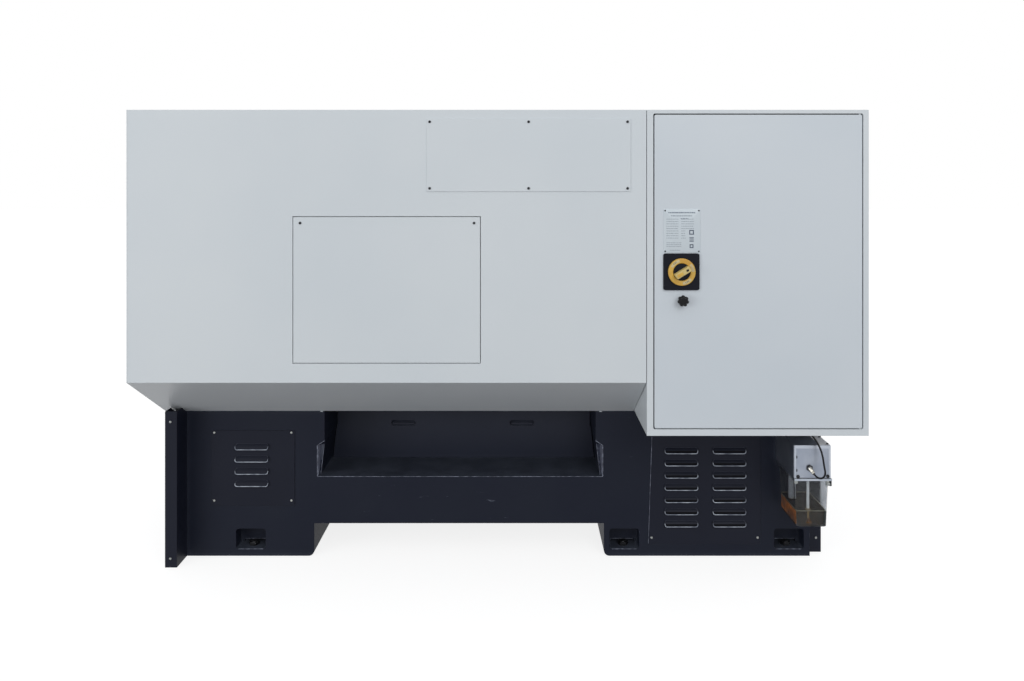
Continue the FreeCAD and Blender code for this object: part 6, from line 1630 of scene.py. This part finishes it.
@dataclass
class WornEdgesAndPaintedBevels:
    """Worn paint along the bay's bevel, the pockets' lips and the motor cover's edge, and a painted
    highlight with scuffs on the bevels' faces.

    Args:
        face: The base's rear face.
        sides: For each side of the bay, its outer edge, then the bevel's inner edge at the top and foot.
        foot: The ledge's height.
        shoulder: Where the bay starts to narrow.
        neck: The bay's half-way corner above it, inward and up from the shoulder.
        deep: How deep the bevel goes.
        pockets: Middles of the levelling pockets.
        pocket_low: Height of the pockets' floor.
        pocket_back: The pockets' back wall.
        slot_top: Height of the back wall's lower edge.
        cover_edge: The motor cover's leaning edge, its upper and lower end along X and Z.
    """

    face: float = field(default_factory=lambda: rear_of("base_casting"))
    sides: tuple[Point, ...] = ((709.0, 686.0, 699.0), (-402.0, -379.0, -392.0))
    foot: float = 310.0
    shoulder: float = 430.0
    neck: Pair = (28.0, 18.0)
    deep: float = 16.0
    pockets: tuple[float, ...] = (968.0, -485.5, -1126.0)
    pocket_low: float = 27.0
    pocket_back: float = 405.0
    slot_top: float = 40.0
    cover_edge: tuple[Pair, Pair] = ((-595.5, 554.0), (-578.5, 49.0))

    @staticmethod
    def worn(corners: list[Point], radius: float) -> Patch:
        """A thin uneven bead through the corners: at point i it is radius * (1 + 0.3 * sin(1.8 * i)).

        Args:
            corners: Its path's corners.
            radius: Its mean radius.

        Returns:
            The bead.
        """
        pieces = [np.linspace(a, b, 14, endpoint=False) for a, b in zip(corners, corners[1:])]
        path = np.concatenate([*pieces, [corners[-1]]])
        return bead(path, radius * (1 + 0.3 * np.sin(1.8 * np.arange(len(path)))), BACK)

    def build(self) -> None:
        """Builds the lines, then the skins on the bevels: a painted highlight with scuffs."""
        lines, skins = [], []
        face, foot, shoulder, inner = self.face, self.foot, self.shoulder, self.face - self.deep
        for outer, top, low in self.sides:
            neck = (outer - math.copysign(self.neck[0], outer - top), face, shoulder + self.neck[1])
            lines.append(self.worn([neck, (outer, face, shoulder), (outer, face, foot)], 1.3))
            lines.append(self.worn([(top, inner, shoulder), (low, inner, foot + 1)], 1.0))
            # the bevel's skin is painted lighter as a painted highlight, with scuffs over it
            edge = [(outer, face, foot), (outer, face, shoulder)]
            bevel = np.array([*edge, (top, inner, shoulder), (low, inner, foot)])
            skins.append(capped([bevel + (0.0, lift, 0.0) for lift in (0.5, 0.1)], 1))
        level = foot - 1.4
        ledge = [(x, face, level) for x in (self.sides[1][0], 150, self.sides[0][0])]
        lines.append(self.worn(ledge, 0.9))
        for x in self.pockets:
            for half, y, z, radius in (
                (48, face, self.pocket_low, 0.8),
                (44, self.pocket_back, self.slot_top, 0.7),
            ):
                lines.append(self.worn([(x - half, y, z), (x + half, y, z)], radius))
        lines.append(self.worn([(x, face + 3, z) for x, z in self.cover_edge], 0.8))
        finishes = [Palette.WORN, Palette.SCUFFED_PAINTED_BEVEL]
        mesh_piece("worn_edges_and_painted_bevels", [*lines, *skins], finishes, "frame", 50)


@dataclass
class TankGrips:
    """The finger cups behind the slots in the tank's rear panel.

    Args:
        middles: Each slot's middle along X and Z.
        face: The panel's back.
        half: Half of the slot's width and height.
        deep: How deep the cup is at its top; its back slopes to almost nothing at its foot.
        wall: Its sheet.
    """

    middles: tuple[Pair, ...] = ((404.0, 454.0), (-88.0, 454.0))
    face: float = 259.2
    half: Pair = (50.0, 11.0)
    deep: float = 15.0
    wall: float = 1.5

    def cup(self, x: float, z: float) -> Patch:
        """One cup, a rounded outline carried inwards along Y, then back outside by the wall's thickness.

        Args:
            x: Its slot's middle along X.
            z: Its slot's middle along Z.

        Returns:
            The cup's closed sheet.
        """
        rows = []
        for grow, back in ((0.0, 1.0), (0.0, 0.0), (self.wall, 0.0), (self.wall, 1.0)):
            flat = rounded_rectangle(self.half[0] + grow, self.half[1] + grow, 8 + grow, 6)
            slope = 0.04 + 0.96 * (flat[:, 1] / self.half[1] + 1) / 2
            depth = back * (self.deep * slope + grow)
            rows.append(np.column_stack([flat[:, 0] + x, self.face - depth, flat[:, 1] + z]))
        return capped(rows)

    def build(self) -> None:
        """Builds both cups, each with the turned-up sheet that closes its lower half."""
        reach, low, face = self.half[0] - 3, self.half[1], self.face
        cups = [self.cup(x, z) for x, z in self.middles]
        lips = [
            soft_block((x - reach, face - 6, z - low), (x + reach, face - 0.8, z - 1), 4, 1)
            for x, z in self.middles
        ]
        mesh_piece("slot_cups", [*cups, *lips], [Palette.TANK], "coolant_tank", 50)


@dataclass
class GuardClips:
    """The two small clips under the white guard's incline.

    Args:
        middles: Each clip's middle along X.
        face: The base's rear face.
        foot: The clips' lower edge.
        size: A clip's width, how far it stands out, and its height.
    """

    middles: Pair = (692.0, -393.0)
    face: float = field(default_factory=lambda: rear_of("base_casting"))
    foot: float = 560.8
    size: Point = (10.0, 1.6, 2.8)

    def build(self) -> None:
        """Builds both clips as small rolled blocks."""
        half, proud, high = self.size[0] / 2, *self.size[1:]
        back, front, top = self.face - 0.5, self.face + proud, self.foot + high
        clips = [
            soft_block((x - half, back, self.foot), (x + half, front, top), 1.2, 0.5)
            for x in self.middles
        ]
        mesh_piece("guard_clips", clips, [Palette.WHITE], "frame")


@dataclass
class PendantFront:
    """The control pendant's screen, keys and scale rings.

    Args:
        low: The box's lower left corner, on the lip round its front.
        lip: How far the lip stands out of the front face.
        columns: How many keys a row has.
        rows: How many rows of keys there are.
        ticks: How many ticks the dial's scale has.
    """

    low: Point = field(default_factory=lambda: node_box("pendant_box")[0])
    lip: float = 3.0
    columns: int = 7
    rows: int = 4
    ticks: int = 50

    @property
    def face(self) -> float:
        """The front face, along Y."""
        return self.low[1] + self.lip

    def block(self, at: Pair, size: Pair, heights: Pair, corner: float, finish: int) -> Patch:
        """A soft block on the front.

        Args:
            at: Its lower left corner, from the box's.
            size: Its width and height.
            heights: Where it starts and ends in front of the face.
            corner: Radius of its corners.
            finish: Which of the piece's finishes it takes.

        Returns:
            The block.
        """
        (low, high), x, z = heights, self.low[0] + at[0], self.low[2] + at[1]
        fillet = min(0.9, (high - low) * 0.45)
        far = (x + size[0], self.face - low, z + size[1])
        return soft_block((x, self.face - high, z), far, corner, fillet, finish)

    def tick(self, dial: Point, number: int) -> Patch:
        """One tick of the dial's scale, longer at each tenth.

        Args:
            dial: The dial's axis, on the face.
            number: Which tick it is.

        Returns:
            The tick's strip.
        """
        x, y, z = dial
        end = 40.5 if number % 10 == 0 else 38.2
        strip = soft_block((x - 0.3, y - 0.6, z + 35), (x + 0.3, y - 0.3, z + end), 0.1, 0.05, 1, 2)
        return turned_about(strip, dial, number * 360 / self.ticks)

    def build(self) -> None:
        """Builds the screen, the key caps and the rings round button and dial."""
        screen = [
            self.block((31, 280), (278, 188.5), (-5.9, -2.2), 4, 0),
            self.block((44, 292), (252, 164), (-2.4, -1.6), 3, 1),
        ]
        mesh_piece("pendant_screen", screen, [Palette.BLACK, Palette.SCREEN], "pendant")
        picks = {(3, 0): 1, (3, 1): 2, (0, 6): 3}
        caps = [
            self.block((31.7 + c * 32, 129.7 + r * 30), (24.6, 22.6), (-0.2, 4.2), 3, picks.get((r, c), 0))
            for r in range(self.rows)
            for c in range(self.columns)
        ]
        finishes = [Palette.GREY, Palette.GREEN, Palette.RED, Palette.YELLOW]
        mesh_piece("pendant_keys", caps, finishes, "pendant")
        collar = [(-0.2, 10), (-0.2, 31), (0.5, 31), (0.8, 30.6), (0.8, 10), (-0.2, 10)]
        stop, dial = middle_of("estop", self.face), middle_of("mpg_dial", self.face)
        ring = turned(collar, stop, FRONT, 64)
        mesh_piece("stop_collar", [ring], [Palette.YELLOW], "pendant")
        plate = turned(washer(-0.1, 0.4, 32.6, 43), dial, FRONT, 96)
        scale = [plate, *(self.tick(dial, number) for number in range(self.ticks))]
        mesh_piece("dial_scale", scale, [Palette.BLACK, Palette.PALE_PRINT], "pendant")


@dataclass
class DoorDress:
    """The front door's rubber seal round its window.

    Args:
        window: The window's box.
        overlap: How far the pane reaches past the hole's edge.
        face: The door's front face.
        corner: Radius of the hole's corners.
        beside: From the hole's edge out to the middle of the seal.
        section: The seal's half width and half height.
    """

    window: tuple[Point, Point] = field(default_factory=lambda: node_box("door_window"))
    overlap: float = 18.0
    face: float = field(default_factory=lambda: node_box("front_door")[0][1])
    corner: float = 40.0
    beside: float = 3.0
    section: Pair = (5.5, 2.6)

    def build(self) -> None:
        """Builds the seal: a round-backed lip carried round the window's edge."""
        (x0, _, z0), (x1, _, z1) = self.window
        half_x, half_z = (x1 - x0) / 2 - self.overlap, (z1 - z0) / 2 - self.overlap
        rows = []
        for angle in np.linspace(0, FULL_TURN, 12, endpoint=False):
            out = self.beside + self.section[0] * math.cos(angle)
            y = self.face - 0.4 - self.section[1] * math.sin(angle)
            flat = rounded_rectangle(half_x + out, half_z + out, self.corner + out, 9)
            rows.append(np.insert(flat + ((x0 + x1) / 2, (z0 + z1) / 2), 1, y, axis=1))
        seal = grid_patch(np.array(rows), True, True)
        mesh_piece("window_seal", [seal], [Palette.RUBBER], "front_door", 60)


def main() -> None:
    """Builds the studio and every piece, in the machine's own order."""
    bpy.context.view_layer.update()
    for assembly in (
        Studio(),
        LubricatorCable(),
        CoverScrews(),
        Nameplate(),
        MainSwitch(),
        StarKnob(),
        Lubricator(),
        LouvreLips(),
        WornEdgesAndPaintedBevels(),
        TankGrips(),
        GuardClips(),
        PendantFront(),
        DoorDress(),
    ):
        assembly.build()
    paint_frame()


if __name__ == "__main__":
    main()
